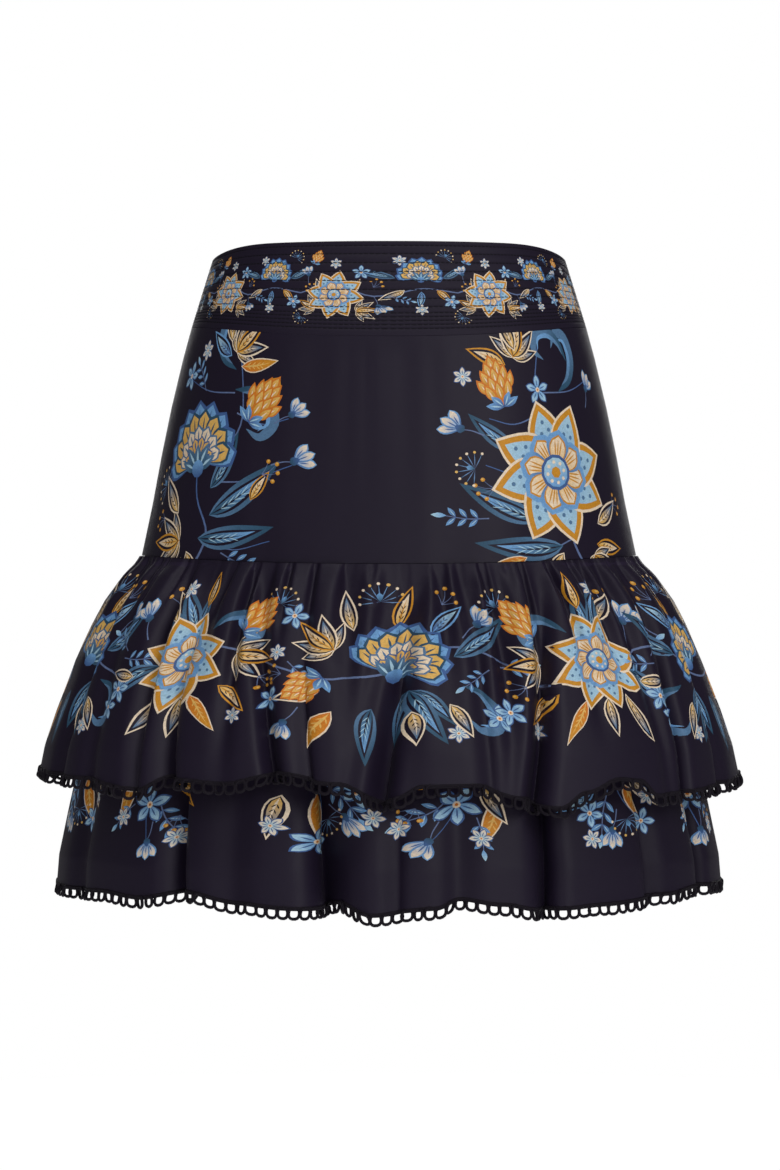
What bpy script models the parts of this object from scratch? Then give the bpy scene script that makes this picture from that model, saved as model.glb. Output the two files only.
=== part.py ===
"""Two-tier miniskirt: shaped waistband, smooth yoke, two gathered ruffles, loop trim and a side zip.

Units are metres and +Z is up. The origin is the middle of the waist at the height of the top edge,
+X is the wearer's left and -Y is the front. The skirt hangs hollow, as it is worn, from its waist.
Every tier is a front and a back panel with a seam at each side, and all of them share one outline:
a squarish ellipse whose half width and half depth are read from short tables of heights.
"""

import math

import bmesh
import bpy
from mathutils import Matrix

# Driving sizes of the cloth
SEAM_GAP = 0.0003
BAND_WALL = 0.0020
CLOTH_WALL = 0.0012
TRIM_WALL = 0.0014
FRONT = -1
BACK = 1

# Seam and edge heights, at the side seams and at the middle of the front and the back
TOP_SIDE, TOP_MIDDLE = -0.007, 0.0
BAND_SIDE, BAND_MIDDLE = -0.052, -0.063
YOKE_SIDE, YOKE_MIDDLE = -0.206, -0.212
TUCK = 0.007

# Columns across each half ring, and the rows of each tier as fractions of its height
BAND_COLUMNS = 36
YOKE_COLUMNS = 36
GATHERS = 30
UPPER_COLUMNS = 3 * GATHERS
LOWER_COLUMNS = 80
BAND_ROWS = (0.0, 1.0)
YOKE_ROWS = (0.0, 0.33, 0.67, 1.0)
UPPER_ROWS = (0.0, 0.09, 0.22, 0.42, 0.68, 1.0)
LOWER_ROWS = (0.0, 0.04, 0.50, 1.0)

# Roundness of the outline: 2 is an ellipse, more is squarer. It falls from the waist to the hem
POWER_WAIST, POWER_HEM = 2.35, 2.05
HEM_HEIGHT = -0.430

# Outer outline of waistband and yoke: height, half width, half depth
BODY_OUTLINE = (
    (0.010, 0.1160, 0.0870),
    (-0.007, 0.1200, 0.0900),
    (-0.032, 0.1278, 0.0955),
    (-0.052, 0.1340, 0.0995),
    (-0.073, 0.1397, 0.1030),
    (-0.106, 0.1476, 0.1085),
    (-0.138, 0.1542, 0.1135),
    (-0.171, 0.1603, 0.1178),
    (-0.212, 0.1690, 0.1235),
)
# Outer outline of the upper ruffle: height, half width, half depth
UPPER_OUTLINE = (
    (-0.206, 0.1683, 0.1228),
    (-0.212, 0.1716, 0.1250),
    (-0.220, 0.1785, 0.1305),
    (-0.236, 0.1904, 0.1415),
    (-0.252, 0.1996, 0.1500),
    (-0.277, 0.2122, 0.1610),
    (-0.310, 0.2251, 0.1725),
    (-0.334, 0.2332, 0.1795),
    (-0.368, 0.2400, 0.1860),
)
# Outer outline of the lower ruffle, from inside the yoke down: height, half width, half depth
LOWER_OUTLINE = (
    (-0.199, 0.1643, 0.1199),
    (-0.212, 0.1670, 0.1216),
    (-0.236, 0.1745, 0.1285),
    (-0.300, 0.1985, 0.1460),
    (-0.350, 0.2112, 0.1580),
    (-0.375, 0.2168, 0.1635),
    (-0.408, 0.2237, 0.1700),
    (-0.440, 0.2262, 0.1740),
)

# Soft folds, each a trough pressed in from the outline. The place runs from 0 at the -X side seam
# to 1 at the +X one: place at the top, place at the hem, half width, depth at the top, at the hem
UPPER_FRONT_FOLDS = (
    (0.10, 0.12, 0.010, 0.0010, 0.0050),
    (0.20, 0.285, 0.013, 0.0010, 0.0160),
    (0.34, 0.390, 0.009, 0.0016, 0.0020),
    (0.41, 0.435, 0.013, 0.0008, 0.0070),
    (0.515, 0.503, 0.018, 0.0012, 0.0175),
    (0.61, 0.585, 0.010, 0.0004, 0.0035),
    (0.71, 0.650, 0.012, 0.0014, 0.0160),
    (0.80, 0.742, 0.011, 0.0010, 0.0110),
    (0.90, 0.870, 0.012, 0.0008, 0.0050),
)
UPPER_BACK_FOLDS = (
    (0.12, 0.13, 0.011, 0.0008, 0.0060),
    (0.23, 0.250, 0.013, 0.0012, 0.0140),
    (0.35, 0.350, 0.010, 0.0010, 0.0060),
    (0.46, 0.455, 0.016, 0.0012, 0.0165),
    (0.57, 0.575, 0.011, 0.0008, 0.0060),
    (0.69, 0.670, 0.013, 0.0012, 0.0150),
    (0.79, 0.780, 0.011, 0.0008, 0.0080),
    (0.90, 0.885, 0.012, 0.0008, 0.0050),
)
LOWER_FRONT_FOLDS = (
    (0.12, 0.13, 0.012, 0.0006, 0.0050),
    (0.26, 0.282, 0.011, 0.0008, 0.0110),
    (0.35, 0.355, 0.011, 0.0004, 0.0035),
    (0.43, 0.446, 0.020, 0.0010, 0.0150),
    (0.56, 0.562, 0.009, 0.0004, 0.0040),
    (0.66, 0.658, 0.014, 0.0008, 0.0100),
    (0.76, 0.770, 0.012, 0.0006, 0.0065),
    (0.88, 0.885, 0.012, 0.0006, 0.0060),
)
LOWER_BACK_FOLDS = (
    (0.13, 0.14, 0.012, 0.0006, 0.0055),
    (0.26, 0.270, 0.013, 0.0008, 0.0100),
    (0.39, 0.400, 0.012, 0.0006, 0.0060),
    (0.53, 0.540, 0.018, 0.0010, 0.0140),
    (0.67, 0.660, 0.012, 0.0006, 0.0080),
    (0.80, 0.790, 0.013, 0.0008, 0.0080),
    (0.90, 0.905, 0.011, 0.0004, 0.0040),
)

# How the cloth's own edge hangs at each hem: place across the half ring, height
UPPER_FRONT_HEM = (
    (0.0, -0.348), (0.18, -0.3515), (0.268, -0.3575), (0.292, -0.3490), (0.36, -0.3520),
    (0.41, -0.3450), (0.46, -0.3515), (0.50, -0.3640), (0.525, -0.3530), (0.57, -0.3525),
    (0.61, -0.3610), (0.645, -0.3675), (0.672, -0.3580), (0.71, -0.3500), (0.735, -0.3515),
    (0.755, -0.3615), (0.80, -0.3600), (0.88, -0.3560), (1.0, -0.3520),
)
UPPER_BACK_HEM = (
    (0.0, -0.348), (0.12, -0.3540), (0.22, -0.3600), (0.265, -0.3520), (0.34, -0.3560),
    (0.40, -0.3500), (0.445, -0.3640), (0.485, -0.3530), (0.56, -0.3570), (0.61, -0.3510),
    (0.665, -0.3630), (0.70, -0.3530), (0.78, -0.3580), (0.84, -0.3520), (0.90, -0.3560),
    (1.0, -0.3520),
)
LOWER_FRONT_HEM = (
    (0.0, -0.4255), (0.13, -0.4265), (0.19, -0.4255), (0.245, -0.4280), (0.305, -0.4225),
    (0.36, -0.4290), (0.42, -0.4320), (0.455, -0.4285), (0.485, -0.4355), (0.54, -0.4310),
    (0.563, -0.4255), (0.60, -0.4290), (0.643, -0.4335), (0.71, -0.4310), (0.80, -0.4270),
    (0.85, -0.4240), (1.0, -0.4250),
)
LOWER_BACK_HEM = (
    (0.0, -0.4255), (0.12, -0.4290), (0.20, -0.4250), (0.27, -0.4320), (0.34, -0.4260),
    (0.42, -0.4310), (0.48, -0.4270), (0.535, -0.4350), (0.60, -0.4270), (0.67, -0.4320),
    (0.74, -0.4250), (0.80, -0.4300), (0.90, -0.4240), (1.0, -0.4250),
)

# Loop trim: one loop to a column of the ruffle that it hangs from, the middle ones open
OPEN_LOOPS = 75
TRIM_GAP = 0.0006
LOOP_DROP = 0.0078
LOOP_NOTCH = 0.0050
HOLE_TOP = 0.0017
HOLE_BOTTOM = 0.0063
HOLE_INSET = 0.19

# Concealed zip behind the seam at the wearer's left
ZIP_TOP, ZIP_BOTTOM = -0.012, -0.172
ZIP_HALF_WIDTH = 0.011
ZIP_COIL_HALF = 0.0025
ZIP_TAPE = 0.0010
ZIP_COIL_RISE = 0.0012
ZIP_ROWS = 6
SLIDER_SIZE = (0.0022, 0.0062, 0.0090)
SLIDER_DROP = 0.004
SLIDER_ROUNDING = 0.0006

# Finishes: red, green and blue in linear light, roughness, metallic
FINISHES = {
    "printed_cloth": (0.0105, 0.0092, 0.0150, 0.55, 0.0),
    "waistband_cloth": (0.0090, 0.0080, 0.0135, 0.60, 0.0),
    "loop_cord": (0.0130, 0.0125, 0.0165, 0.75, 0.0),
    "zip_tape": (0.0100, 0.0095, 0.0140, 0.80, 0.0),
    "zip_metal": (0.0600, 0.0600, 0.0700, 0.35, 1.0),
}


def clear_scene():
    """Remove whatever the file opened with."""
    for thing in list(bpy.data.objects):
        bpy.data.objects.remove(thing, do_unlink=True)


def make_finish(name):
    """A plain Principled material with one of the named finishes."""
    red, green, blue, roughness, metallic = FINISHES[name]
    finish = bpy.data.materials.new(name)
    finish.use_nodes = True
    shader = finish.node_tree.nodes["Principled BSDF"]
    shader.inputs["Base Color"].default_value = (red, green, blue, 1.0)
    shader.inputs["Roughness"].default_value = roughness
    shader.inputs["Metallic"].default_value = metallic
    finish.diffuse_color = (red, green, blue, 1.0)
    return finish


def ease(value):
    """Smooth step from 0 to 1."""
    value = min(max(value, 0.0), 1.0)
    return value * value * (3.0 - 2.0 * value)


def blend(start, end, share):
    return start + (end - start) * share


def read_table(rows, key, smooth=False):
    """Read the other columns of a table at a key between its rows, which run either way."""
    if (rows[0][0] - rows[-1][0]) * (rows[0][0] - key) <= 0.0:
        return rows[0][1:]
    for upper, lower in zip(rows, rows[1:]):
        share = (key - upper[0]) / (lower[0] - upper[0])
        if share <= 1.0:
            share = ease(share) if smooth else share
            return tuple(blend(a, b, share) for a, b in zip(upper[1:], lower[1:]))
    return rows[-1][1:]


def middle_share(place):
    """0 at the side seams and 1 at the middle of the front or the back."""
    return math.sin(math.pi * place)


def seam_height(side_height, middle_height, place):
    return blend(side_height, middle_height, middle_share(place) ** 2)


def ring_point(side, place, half_width, half_depth, power):
    """A point of the squarish outline and its outward direction, for one half ring."""
    angle = math.pi * (place - 0.5)
    across, along = math.sin(angle), max(math.cos(angle), 0.0)
    share_x = abs(across) ** (2.0 / power)
    share_y = along ** (2.0 / power)
    x = math.copysign(half_width * share_x, across)
    y = side * (half_depth * share_y + SEAM_GAP / 2.0)
    out_x = math.copysign(share_x ** (power - 1.0) / half_width, across)
    out_y = side * share_y ** (power - 1.0) / half_depth
    reach = math.hypot(out_x, out_y)
    return x, y, out_x / reach, out_y / reach


def outline_point(outline, side, place, height, offset):
    """A point on a tier's outline at a height, moved out by an offset."""
    half_width, half_depth = read_table(outline, height)
    power = blend(POWER_WAIST, POWER_HEM, min(height / HEM_HEIGHT, 1.0))
    x, y, out_x, out_y = ring_point(side, place, half_width, half_depth, power)
    return (x + out_x * offset, y + out_y * offset, height)


def half_length(outline, height):
    """Rough length of the half ring, which turns a distance in cloth into a share of it."""
    half_width, half_depth = read_table(outline, height)
    return math.pi * math.hypot(half_width, half_depth) / math.sqrt(2.0)


def seam_window(place):
    """Folds die out towards the side seams, where front and back meet."""
    return ease(min(place, 1.0 - place) / 0.05)


def fold_offset(folds, place, share, ring_length):
    """How far the troughs press the cloth in."""
    offset = 0.0
    for top_place, hem_place, half_width, top_depth, hem_depth in folds:
        away = (place - blend(top_place, hem_place, share)) * ring_length / half_width
        depth = blend(top_depth, hem_depth, ease(share))
        offset -= depth * math.exp(-away * away)
    return offset * seam_window(place)


def gather_offset(place, share, height):
    """Even gathers that stand out below a seam and fade into the ruffle."""
    swell = blend(0.35, 1.0, ease(share / 0.09)) * (1.0 - ease((share - 0.15) / 0.5))
    wave = 0.5 + 0.5 * math.cos(2.0 * math.pi * GATHERS * place)
    return height * swell * wave * seam_window(place)


class Tier:
    """One ring of cloth: its outline, its upper and lower edges, its folds and its gathers."""

    def __init__(self, outline, upper_edge, lower_edge, columns, rows, wall, finish, gather=0.0):
        self.outline = outline
        self.upper_edge = upper_edge
        self.lower_edge = lower_edge
        self.columns = columns
        self.rows = rows
        self.wall = wall
        self.finish = finish
        self.gather = gather

    def point(self, side, folds, column, share):
        place = column / self.columns
        height = blend(self.upper_edge(place), self.lower_edge(side, place), share)
        length = half_length(self.outline, height)
        offset = fold_offset(folds, place, share, length) + gather_offset(place, share, self.gather)
        return outline_point(self.outline, side, place, height, offset)


def new_object(name, mesh, finish, collection):
    thing = bpy.data.objects.new(name, mesh)
    thing.data.materials.append(finish)
    collection.objects.link(thing)
    return thing


def thicken(thing, wall):
    """Give an open surface its wall, on the inner side."""
    solid = thing.modifiers.new("wall", "SOLIDIFY")
    solid.thickness = wall
    solid.offset = -1.0
    solid.use_even_offset = False
    solid.use_rim = True


def surface_mesh(name, side, points, faces):
    """An open surface from its points, with its faces turned outwards."""
    mesh = bpy.data.meshes.new(name)
    sheet = bmesh.new()
    verts = [sheet.verts.new(point) for point in points]
    for face in faces:
        order = face if side == FRONT else tuple(reversed(face))
        sheet.faces.new([verts[index] for index in order])
    sheet.normal_update()
    sheet.to_mesh(mesh)
    sheet.free()
    mesh.shade_smooth()
    return mesh


def make_panel(name, tier, side, folds, finishes, collection):
    """One cloth panel: an open grid on the tier's surface, given its wall by Solidify."""
    points = []
    for share in tier.rows:
        points += [tier.point(side, folds, column, share) for column in range(tier.columns + 1)]
    across = tier.columns + 1
    faces = []
    for row in range(len(tier.rows) - 1):
        for column in range(tier.columns):
            corner = row * across + column
            faces.append((corner, corner + across, corner + across + 1, corner + 1))
    mesh = surface_mesh(name, side, points, faces)
    thing = new_object(name, mesh, finishes[tier.finish], collection)
    thicken(thing, tier.wall)
    return thing


def make_trim(name, tier, side, folds, finishes, collection):
    """A strip of loops that carries on the slope of the cloth below its hem."""
    before_last = tier.rows[-2]
    first_open = (tier.columns - OPEN_LOOPS) // 2
    points = []
    faces = []

    def add(column, drop):
        """Add a point below the hem, along the line on which the cloth reaches it."""
        whole = min(int(column), tier.columns - 1)
        ends = []
        for index in (whole, whole + 1):
            hem = tier.point(side, folds, index, 1.0)
            above = tier.point(side, folds, index, before_last)
            down = [a - b for a, b in zip(hem, above)]
            reach = math.sqrt(sum(part * part for part in down))
            ends.append([a + b / reach * drop for a, b in zip(hem, down)])
        points.append([blend(a, b, column - whole) for a, b in zip(*ends)])
        return len(points) - 1

    top = [add(column, TRIM_GAP) for column in range(tier.columns + 1)]
    notch = [add(column, LOOP_NOTCH) for column in range(tier.columns + 1)]
    for column in range(tier.columns):
        tip = add(column + 0.5, LOOP_DROP)
        left, right = column, column + 1
        if first_open <= column < first_open + OPEN_LOOPS:
            hole_left = add(column + HOLE_INSET, HOLE_TOP)
            hole_right = add(column + 1.0 - HOLE_INSET, HOLE_TOP)
            hole_low = add(column + 0.5, HOLE_BOTTOM)
            faces.append((top[left], hole_left, hole_right, top[right]))
            faces.append((top[left], notch[left], hole_left))
            faces.append((notch[left], tip, hole_low, hole_left))
            faces.append((top[right], hole_right, notch[right]))
            faces.append((notch[right], hole_right, hole_low, tip))
        else:
            faces.append((top[left], notch[left], tip, notch[right], top[right]))
    mesh = surface_mesh(name, side, points, faces)
    thing = new_object(name, mesh, finishes["loop_cord"], collection)
    thicken(thing, TRIM_WALL)
    return thing


def zip_wall_face(height, y):
    """The inner face of the cloth at the +X seam, at a height and a distance from the seam."""
    half_width, half_depth = read_table(BODY_OUTLINE, height)
    power = blend(POWER_WAIST, POWER_HEM, min(height / HEM_HEIGHT, 1.0))
    x = half_width * (1.0 - (abs(y) / half_depth) ** power) ** (1.0 / power)
    wall = blend(BAND_WALL, CLOTH_WALL, ease((BAND_SIDE - 0.006 - height) / 0.012))
    return x - wall * 1.06 - SEAM_GAP


def make_zip(finishes, collection):
    """Zip tape with its closed coil: a ridge down the middle of a thin strip."""
    mesh = bpy.data.meshes.new("side_zip")
    strip = bmesh.new()
    profile = (
        (-ZIP_HALF_WIDTH, ZIP_TAPE), (-ZIP_COIL_HALF, ZIP_TAPE), (-ZIP_COIL_HALF, ZIP_TAPE + ZIP_COIL_RISE),
        (ZIP_COIL_HALF, ZIP_TAPE + ZIP_COIL_RISE), (ZIP_COIL_HALF, ZIP_TAPE), (ZIP_HALF_WIDTH, ZIP_TAPE),
        (ZIP_HALF_WIDTH, 0.0), (0.0, 0.0), (-ZIP_HALF_WIDTH, 0.0),
    )
    rings = []
    for row in range(ZIP_ROWS + 1):
        height = blend(ZIP_TOP, ZIP_BOTTOM, row / ZIP_ROWS)
        ring = [strip.verts.new((zip_wall_face(height, y) - depth, y, height)) for y, depth in profile]
        rings.append(ring)
    count = len(profile)
    for upper, lower in zip(rings, rings[1:]):
        for index in range(count):
            after = (index + 1) % count
            strip.faces.new((upper[index], upper[after], lower[after], lower[index]))
    strip.faces.new(rings[0])
    strip.faces.new(rings[-1])
    bmesh.ops.recalc_face_normals(strip, faces=strip.faces)
    strip.to_mesh(mesh)
    strip.free()
    return new_object("side_zip", mesh, finishes["zip_tape"], collection)


def make_slider(finishes, collection):
    """The zip's slider at the top of the coil, on the inner side, tilted as the coil is."""
    width, breadth, length = SLIDER_SIZE
    top = ZIP_TOP - SLIDER_DROP
    coil = ZIP_TAPE + ZIP_COIL_RISE
    top_face = zip_wall_face(top, 0.0) - coil
    low_face = zip_wall_face(top - length, 0.0) - coil
    tilt = math.atan((low_face - top_face) / length)
    bpy.ops.mesh.primitive_cube_add(size=1.0)
    slider = bpy.context.active_object
    slider.name = "zip_slider"
    slider.data.transform(Matrix.Diagonal((width, breadth, length, 1.0)))
    slider.rotation_euler = (0.0, -tilt, 0.0)
    away = (SEAM_GAP + width / 2.0) / math.cos(tilt)
    slider.location = ((top_face + low_face) / 2.0 - away, 0.0, top - length / 2.0)
    slider.data.materials.append(finishes["zip_metal"])
    bevel = slider.modifiers.new("rounded", "BEVEL")
    bevel.width = SLIDER_ROUNDING
    bevel.segments = 1
    for holder in list(slider.users_collection):
        holder.objects.unlink(slider)
    collection.objects.link(slider)
    return slider


def make_skirt():
    clear_scene()
    collection = bpy.data.collections.new("miniskirt")
    bpy.context.scene.collection.children.link(collection)
    finishes = {name: make_finish(name) for name in FINISHES}

    def top_edge(place):
        return blend(TOP_SIDE, TOP_MIDDLE, ease(middle_share(place) / 0.8))

    def band_seam(place):
        return seam_height(BAND_SIDE, BAND_MIDDLE, place)

    def yoke_seam(place):
        return seam_height(YOKE_SIDE, YOKE_MIDDLE, place)

    hems = {
        "upper": {FRONT: UPPER_FRONT_HEM, BACK: UPPER_BACK_HEM},
        "lower": {FRONT: LOWER_FRONT_HEM, BACK: LOWER_BACK_HEM},
    }
    tiers = {
        "waistband": Tier(
            BODY_OUTLINE, top_edge, lambda side, place: band_seam(place),
            BAND_COLUMNS, BAND_ROWS, BAND_WALL, "waistband_cloth",
        ),
        "yoke": Tier(
            BODY_OUTLINE, lambda place: band_seam(place) - SEAM_GAP, lambda side, place: yoke_seam(place),
            YOKE_COLUMNS, YOKE_ROWS, CLOTH_WALL, "printed_cloth",
        ),
        "upper_ruffle": Tier(
            UPPER_OUTLINE, lambda place: yoke_seam(place) - SEAM_GAP,
            lambda side, place: read_table(hems["upper"][side], place, smooth=True)[0],
            UPPER_COLUMNS, UPPER_ROWS, CLOTH_WALL, "printed_cloth", gather=0.0040,
        ),
        "lower_ruffle": Tier(
            LOWER_OUTLINE, lambda place: yoke_seam(place) + TUCK,
            lambda side, place: read_table(hems["lower"][side], place, smooth=True)[0],
            LOWER_COLUMNS, LOWER_ROWS, CLOTH_WALL, "printed_cloth",
        ),
    }
    folds = {
        "waistband": {FRONT: (), BACK: ()},
        "yoke": {FRONT: (), BACK: ()},
        "upper_ruffle": {FRONT: UPPER_FRONT_FOLDS, BACK: UPPER_BACK_FOLDS},
        "lower_ruffle": {FRONT: LOWER_FRONT_FOLDS, BACK: LOWER_BACK_FOLDS},
    }
    for side, side_name in ((FRONT, "front"), (BACK, "back")):
        for tier_name, tier in tiers.items():
            panel_folds = folds[tier_name][side]
            make_panel(f"{tier_name}_{side_name}", tier, side, panel_folds, finishes, collection)
        for tier_name in ("upper_ruffle", "lower_ruffle"):
            name = f"{tier_name.split('_')[0]}_loop_trim_{side_name}"
            make_trim(name, tiers[tier_name], side, folds[tier_name][side], finishes, collection)
    make_zip(finishes, collection)
    make_slider(finishes, collection)


make_skirt()
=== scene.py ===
"""Miniskirt with a flower print: waistband, yoke, two gathered ruffles and loop trim, as worn.

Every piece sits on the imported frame: metres, +Z up, -Y the front, the origin at the waist.
The print is part of the cloth. Each motif is an outline laid flat on its panel, the panel is cut
into triangles along all the outlines, and the dye of each triangle goes into a colour attribute.
"""
import math
import random
from itertools import product

import bpy
import numpy as np
from bpy.props import FloatProperty, FloatVectorProperty, PointerProperty
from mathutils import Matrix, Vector
from mathutils.geometry import delaunay_2d_cdt


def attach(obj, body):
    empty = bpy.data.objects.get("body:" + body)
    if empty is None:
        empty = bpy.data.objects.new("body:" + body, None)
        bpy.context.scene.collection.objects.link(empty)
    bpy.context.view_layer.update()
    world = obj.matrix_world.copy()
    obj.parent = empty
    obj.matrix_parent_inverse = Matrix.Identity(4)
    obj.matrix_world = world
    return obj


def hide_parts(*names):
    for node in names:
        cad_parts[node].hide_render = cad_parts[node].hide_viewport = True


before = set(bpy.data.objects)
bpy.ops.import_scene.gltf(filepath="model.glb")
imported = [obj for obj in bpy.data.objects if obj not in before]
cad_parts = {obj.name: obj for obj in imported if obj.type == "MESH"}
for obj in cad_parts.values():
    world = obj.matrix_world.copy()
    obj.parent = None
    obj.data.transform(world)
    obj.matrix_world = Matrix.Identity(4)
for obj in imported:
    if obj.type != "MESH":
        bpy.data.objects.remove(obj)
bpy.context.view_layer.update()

bl_info = {
    "name": "Miniskirt",
    "version": (1, 0, 0),
    "blender": (4, 5, 0),
    "location": "View3D > Sidebar > Miniskirt",
    "description": "Dresses the packed miniskirt in printed cloth, stitching and loop trim",
    "category": "Object",
}

FRONT, BACK = -1, 1
SIDES = ((FRONT, "front"), (BACK, "back"))
MM = 0.001
SEAM_GAP = 0.0003

# Seam and edge heights, at the side seams and at the middle of the front and the back
TOP_SIDE, TOP_MIDDLE = -0.007, 0.0
BAND_SIDE, BAND_MIDDLE = -0.052, -0.063
YOKE_SIDE, YOKE_MIDDLE = -0.206, -0.212
TUCK = 0.007
POWER_WAIST, POWER_HEM = 2.35, 2.05
HEM_HEIGHT = -0.430

# Outer outline of waistband and yoke: height, half width, half depth
BODY_OUTLINE = (
    (0.01, 0.116, 0.087), (-0.007, 0.12, 0.09), (-0.032, 0.1278, 0.0955), (-0.052, 0.134, 0.0995),
    (-0.073, 0.1397, 0.103), (-0.106, 0.1476, 0.1085), (-0.138, 0.1542, 0.1135), (-0.171, 0.1603, 0.1178),
    (-0.212, 0.169, 0.1235),
)
# Outer outline of the upper ruffle: height, half width, half depth
UPPER_OUTLINE = (
    (-0.206, 0.1683, 0.1228), (-0.212, 0.1716, 0.125), (-0.22, 0.1785, 0.1305), (-0.236, 0.1904, 0.1415),
    (-0.252, 0.1996, 0.15), (-0.277, 0.2122, 0.161), (-0.31, 0.2251, 0.1725), (-0.334, 0.2332, 0.1795),
    (-0.368, 0.24, 0.186),
)
# Outer outline of the lower ruffle, from inside the yoke down: height, half width, half depth
LOWER_OUTLINE = (
    (-0.199, 0.1643, 0.1199), (-0.212, 0.167, 0.1216), (-0.236, 0.1745, 0.1285), (-0.3, 0.1985, 0.146),
    (-0.35, 0.2112, 0.158), (-0.375, 0.2168, 0.1635), (-0.408, 0.2237, 0.17), (-0.44, 0.2262, 0.174),
)

# Folds. Place runs from 0 at the -X side seam to 1 at the +X one: place at the top, place at the
# hem, half width, depth at the top, depth at the hem, and how steep one side is: -1 the -X side,
# +1 the +X one, 0 neither
YOKE_FRONT_FOLDS = (
    (0.25, 0.285, 0.016, 0.0002, 0.0016, 0.0), (0.33, 0.35, 0.013, 0.0004, 0.0013, 0.0),
    (0.41, 0.395, 0.011, 0.0012, 0.0004, 0.0), (0.455, 0.45, 0.005, 0.0009, 0.0, 0.0),
    (0.475, 0.48, 0.004, 0.0008, 0.0, 0.0), (0.515, 0.52, 0.008, 0.0013, 0.0003, 0.0),
    (0.55, 0.555, 0.006, 0.0007, 0.0001, 0.0), (0.6, 0.57, 0.014, 0.0004, 0.0014, 0.0),
    (0.72, 0.69, 0.014, 0.0003, 0.0014, 0.0),
)
YOKE_BACK_FOLDS = (
    (0.28, 0.3, 0.016, 0.0003, 0.0015, 0.0), (0.38, 0.36, 0.014, 0.0006, 0.0013, 0.0),
    (0.44, 0.445, 0.007, 0.001, 0.0002, 0.0), (0.49, 0.495, 0.005, 0.0008, 0.0001, 0.0),
    (0.53, 0.525, 0.007, 0.001, 0.0002, 0.0), (0.61, 0.65, 0.015, 0.0005, 0.0014, 0.0),
    (0.72, 0.74, 0.014, 0.0003, 0.0012, 0.0),
)
UPPER_FRONT_FOLDS = (
    (0.118, 0.122, 0.009, 0.008, 0.0065, 0.0), (0.165, 0.19, 0.009, 0.003, 0.005, 0.0),
    (0.283, 0.309, 0.014, 0.013, 0.026, 0.9), (0.238, 0.262, 0.008, 0.009, 0.008, 0.4),
    (0.36, 0.4, 0.007, 0.012, 0.016, -0.4), (0.415, 0.44, 0.01, 0.003, 0.008, 0.5),
    (0.47, 0.466, 0.006, 0.009, 0.001, 0.0), (0.527, 0.5, 0.009, 0.0125, 0.027, 0.6),
    (0.505, 0.47, 0.0055, 0.009, 0.003, 0.0), (0.578, 0.585, 0.008, 0.009, 0.0045, 0.3),
    (0.672, 0.632, 0.009, 0.0095, 0.028, 0.7), (0.618, 0.6, 0.006, 0.009, 0.003, 0.0),
    (0.777, 0.775, 0.007, 0.0095, 0.003, 0.0), (0.834, 0.806, 0.009, 0.0085, 0.009, 0.6),
    (0.9, 0.87, 0.012, 0.003, 0.0065, -0.4),
)
UPPER_BACK_FOLDS = (
    (0.12, 0.13, 0.01, 0.007, 0.007, 0.0), (0.23, 0.25, 0.013, 0.01, 0.0185, -0.8),
    (0.3, 0.3, 0.008, 0.008, 0.004, 0.0), (0.36, 0.35, 0.01, 0.0035, 0.008, 0.5),
    (0.46, 0.455, 0.012, 0.012, 0.02, 0.8), (0.53, 0.52, 0.007, 0.008, 0.004, 0.0),
    (0.58, 0.58, 0.011, 0.003, 0.008, -0.4), (0.69, 0.67, 0.011, 0.01, 0.019, 0.8),
    (0.79, 0.78, 0.011, 0.003, 0.01, -0.6), (0.9, 0.885, 0.012, 0.0015, 0.006, 0.0),
)
LOWER_FRONT_FOLDS = (
    (0.12, 0.13, 0.012, 0.0006, 0.006, 0.0), (0.278, 0.3, 0.012, 0.0008, 0.019, 0.6),
    (0.35, 0.355, 0.011, 0.0004, 0.0045, 0.0), (0.411, 0.429, 0.021, 0.001, 0.033, -0.75),
    (0.51, 0.51, 0.01, 0.0004, 0.006, 0.4), (0.56, 0.562, 0.009, 0.0004, 0.0055, 0.0),
    (0.66, 0.658, 0.012, 0.0008, 0.018, 0.7), (0.76, 0.77, 0.012, 0.0006, 0.008, -0.4),
    (0.88, 0.885, 0.012, 0.0006, 0.009, 0.5),
)
LOWER_BACK_FOLDS = (
    (0.13, 0.14, 0.012, 0.0006, 0.007, 0.0), (0.26, 0.27, 0.013, 0.0008, 0.017, 0.6),
    (0.39, 0.4, 0.012, 0.0006, 0.008, 0.0), (0.53, 0.54, 0.017, 0.001, 0.026, -0.7),
    (0.67, 0.66, 0.012, 0.0006, 0.012, 0.5), (0.8, 0.79, 0.013, 0.0008, 0.013, 0.6),
    (0.9, 0.905, 0.011, 0.0004, 0.005, 0.0),
)

# How the cloth's own edge hangs at each hem: place across the half ring, height
UPPER_FRONT_HEM = (
    (0.0, -0.348), (0.18, -0.3515), (0.268, -0.3575), (0.292, -0.349), (0.36, -0.352), (0.41, -0.345),
    (0.46, -0.3515), (0.5, -0.364), (0.525, -0.353), (0.57, -0.3525), (0.61, -0.361), (0.645, -0.3675),
    (0.672, -0.358), (0.71, -0.35), (0.735, -0.3515), (0.755, -0.3615), (0.8, -0.36), (0.88, -0.356),
    (1.0, -0.352),
)
UPPER_BACK_HEM = (
    (0.0, -0.348), (0.12, -0.354), (0.22, -0.36), (0.265, -0.352), (0.34, -0.356), (0.4, -0.35),
    (0.445, -0.364), (0.485, -0.353), (0.56, -0.357), (0.61, -0.351), (0.665, -0.363), (0.7, -0.353),
    (0.78, -0.358), (0.84, -0.352), (0.9, -0.356), (1.0, -0.352),
)
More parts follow.
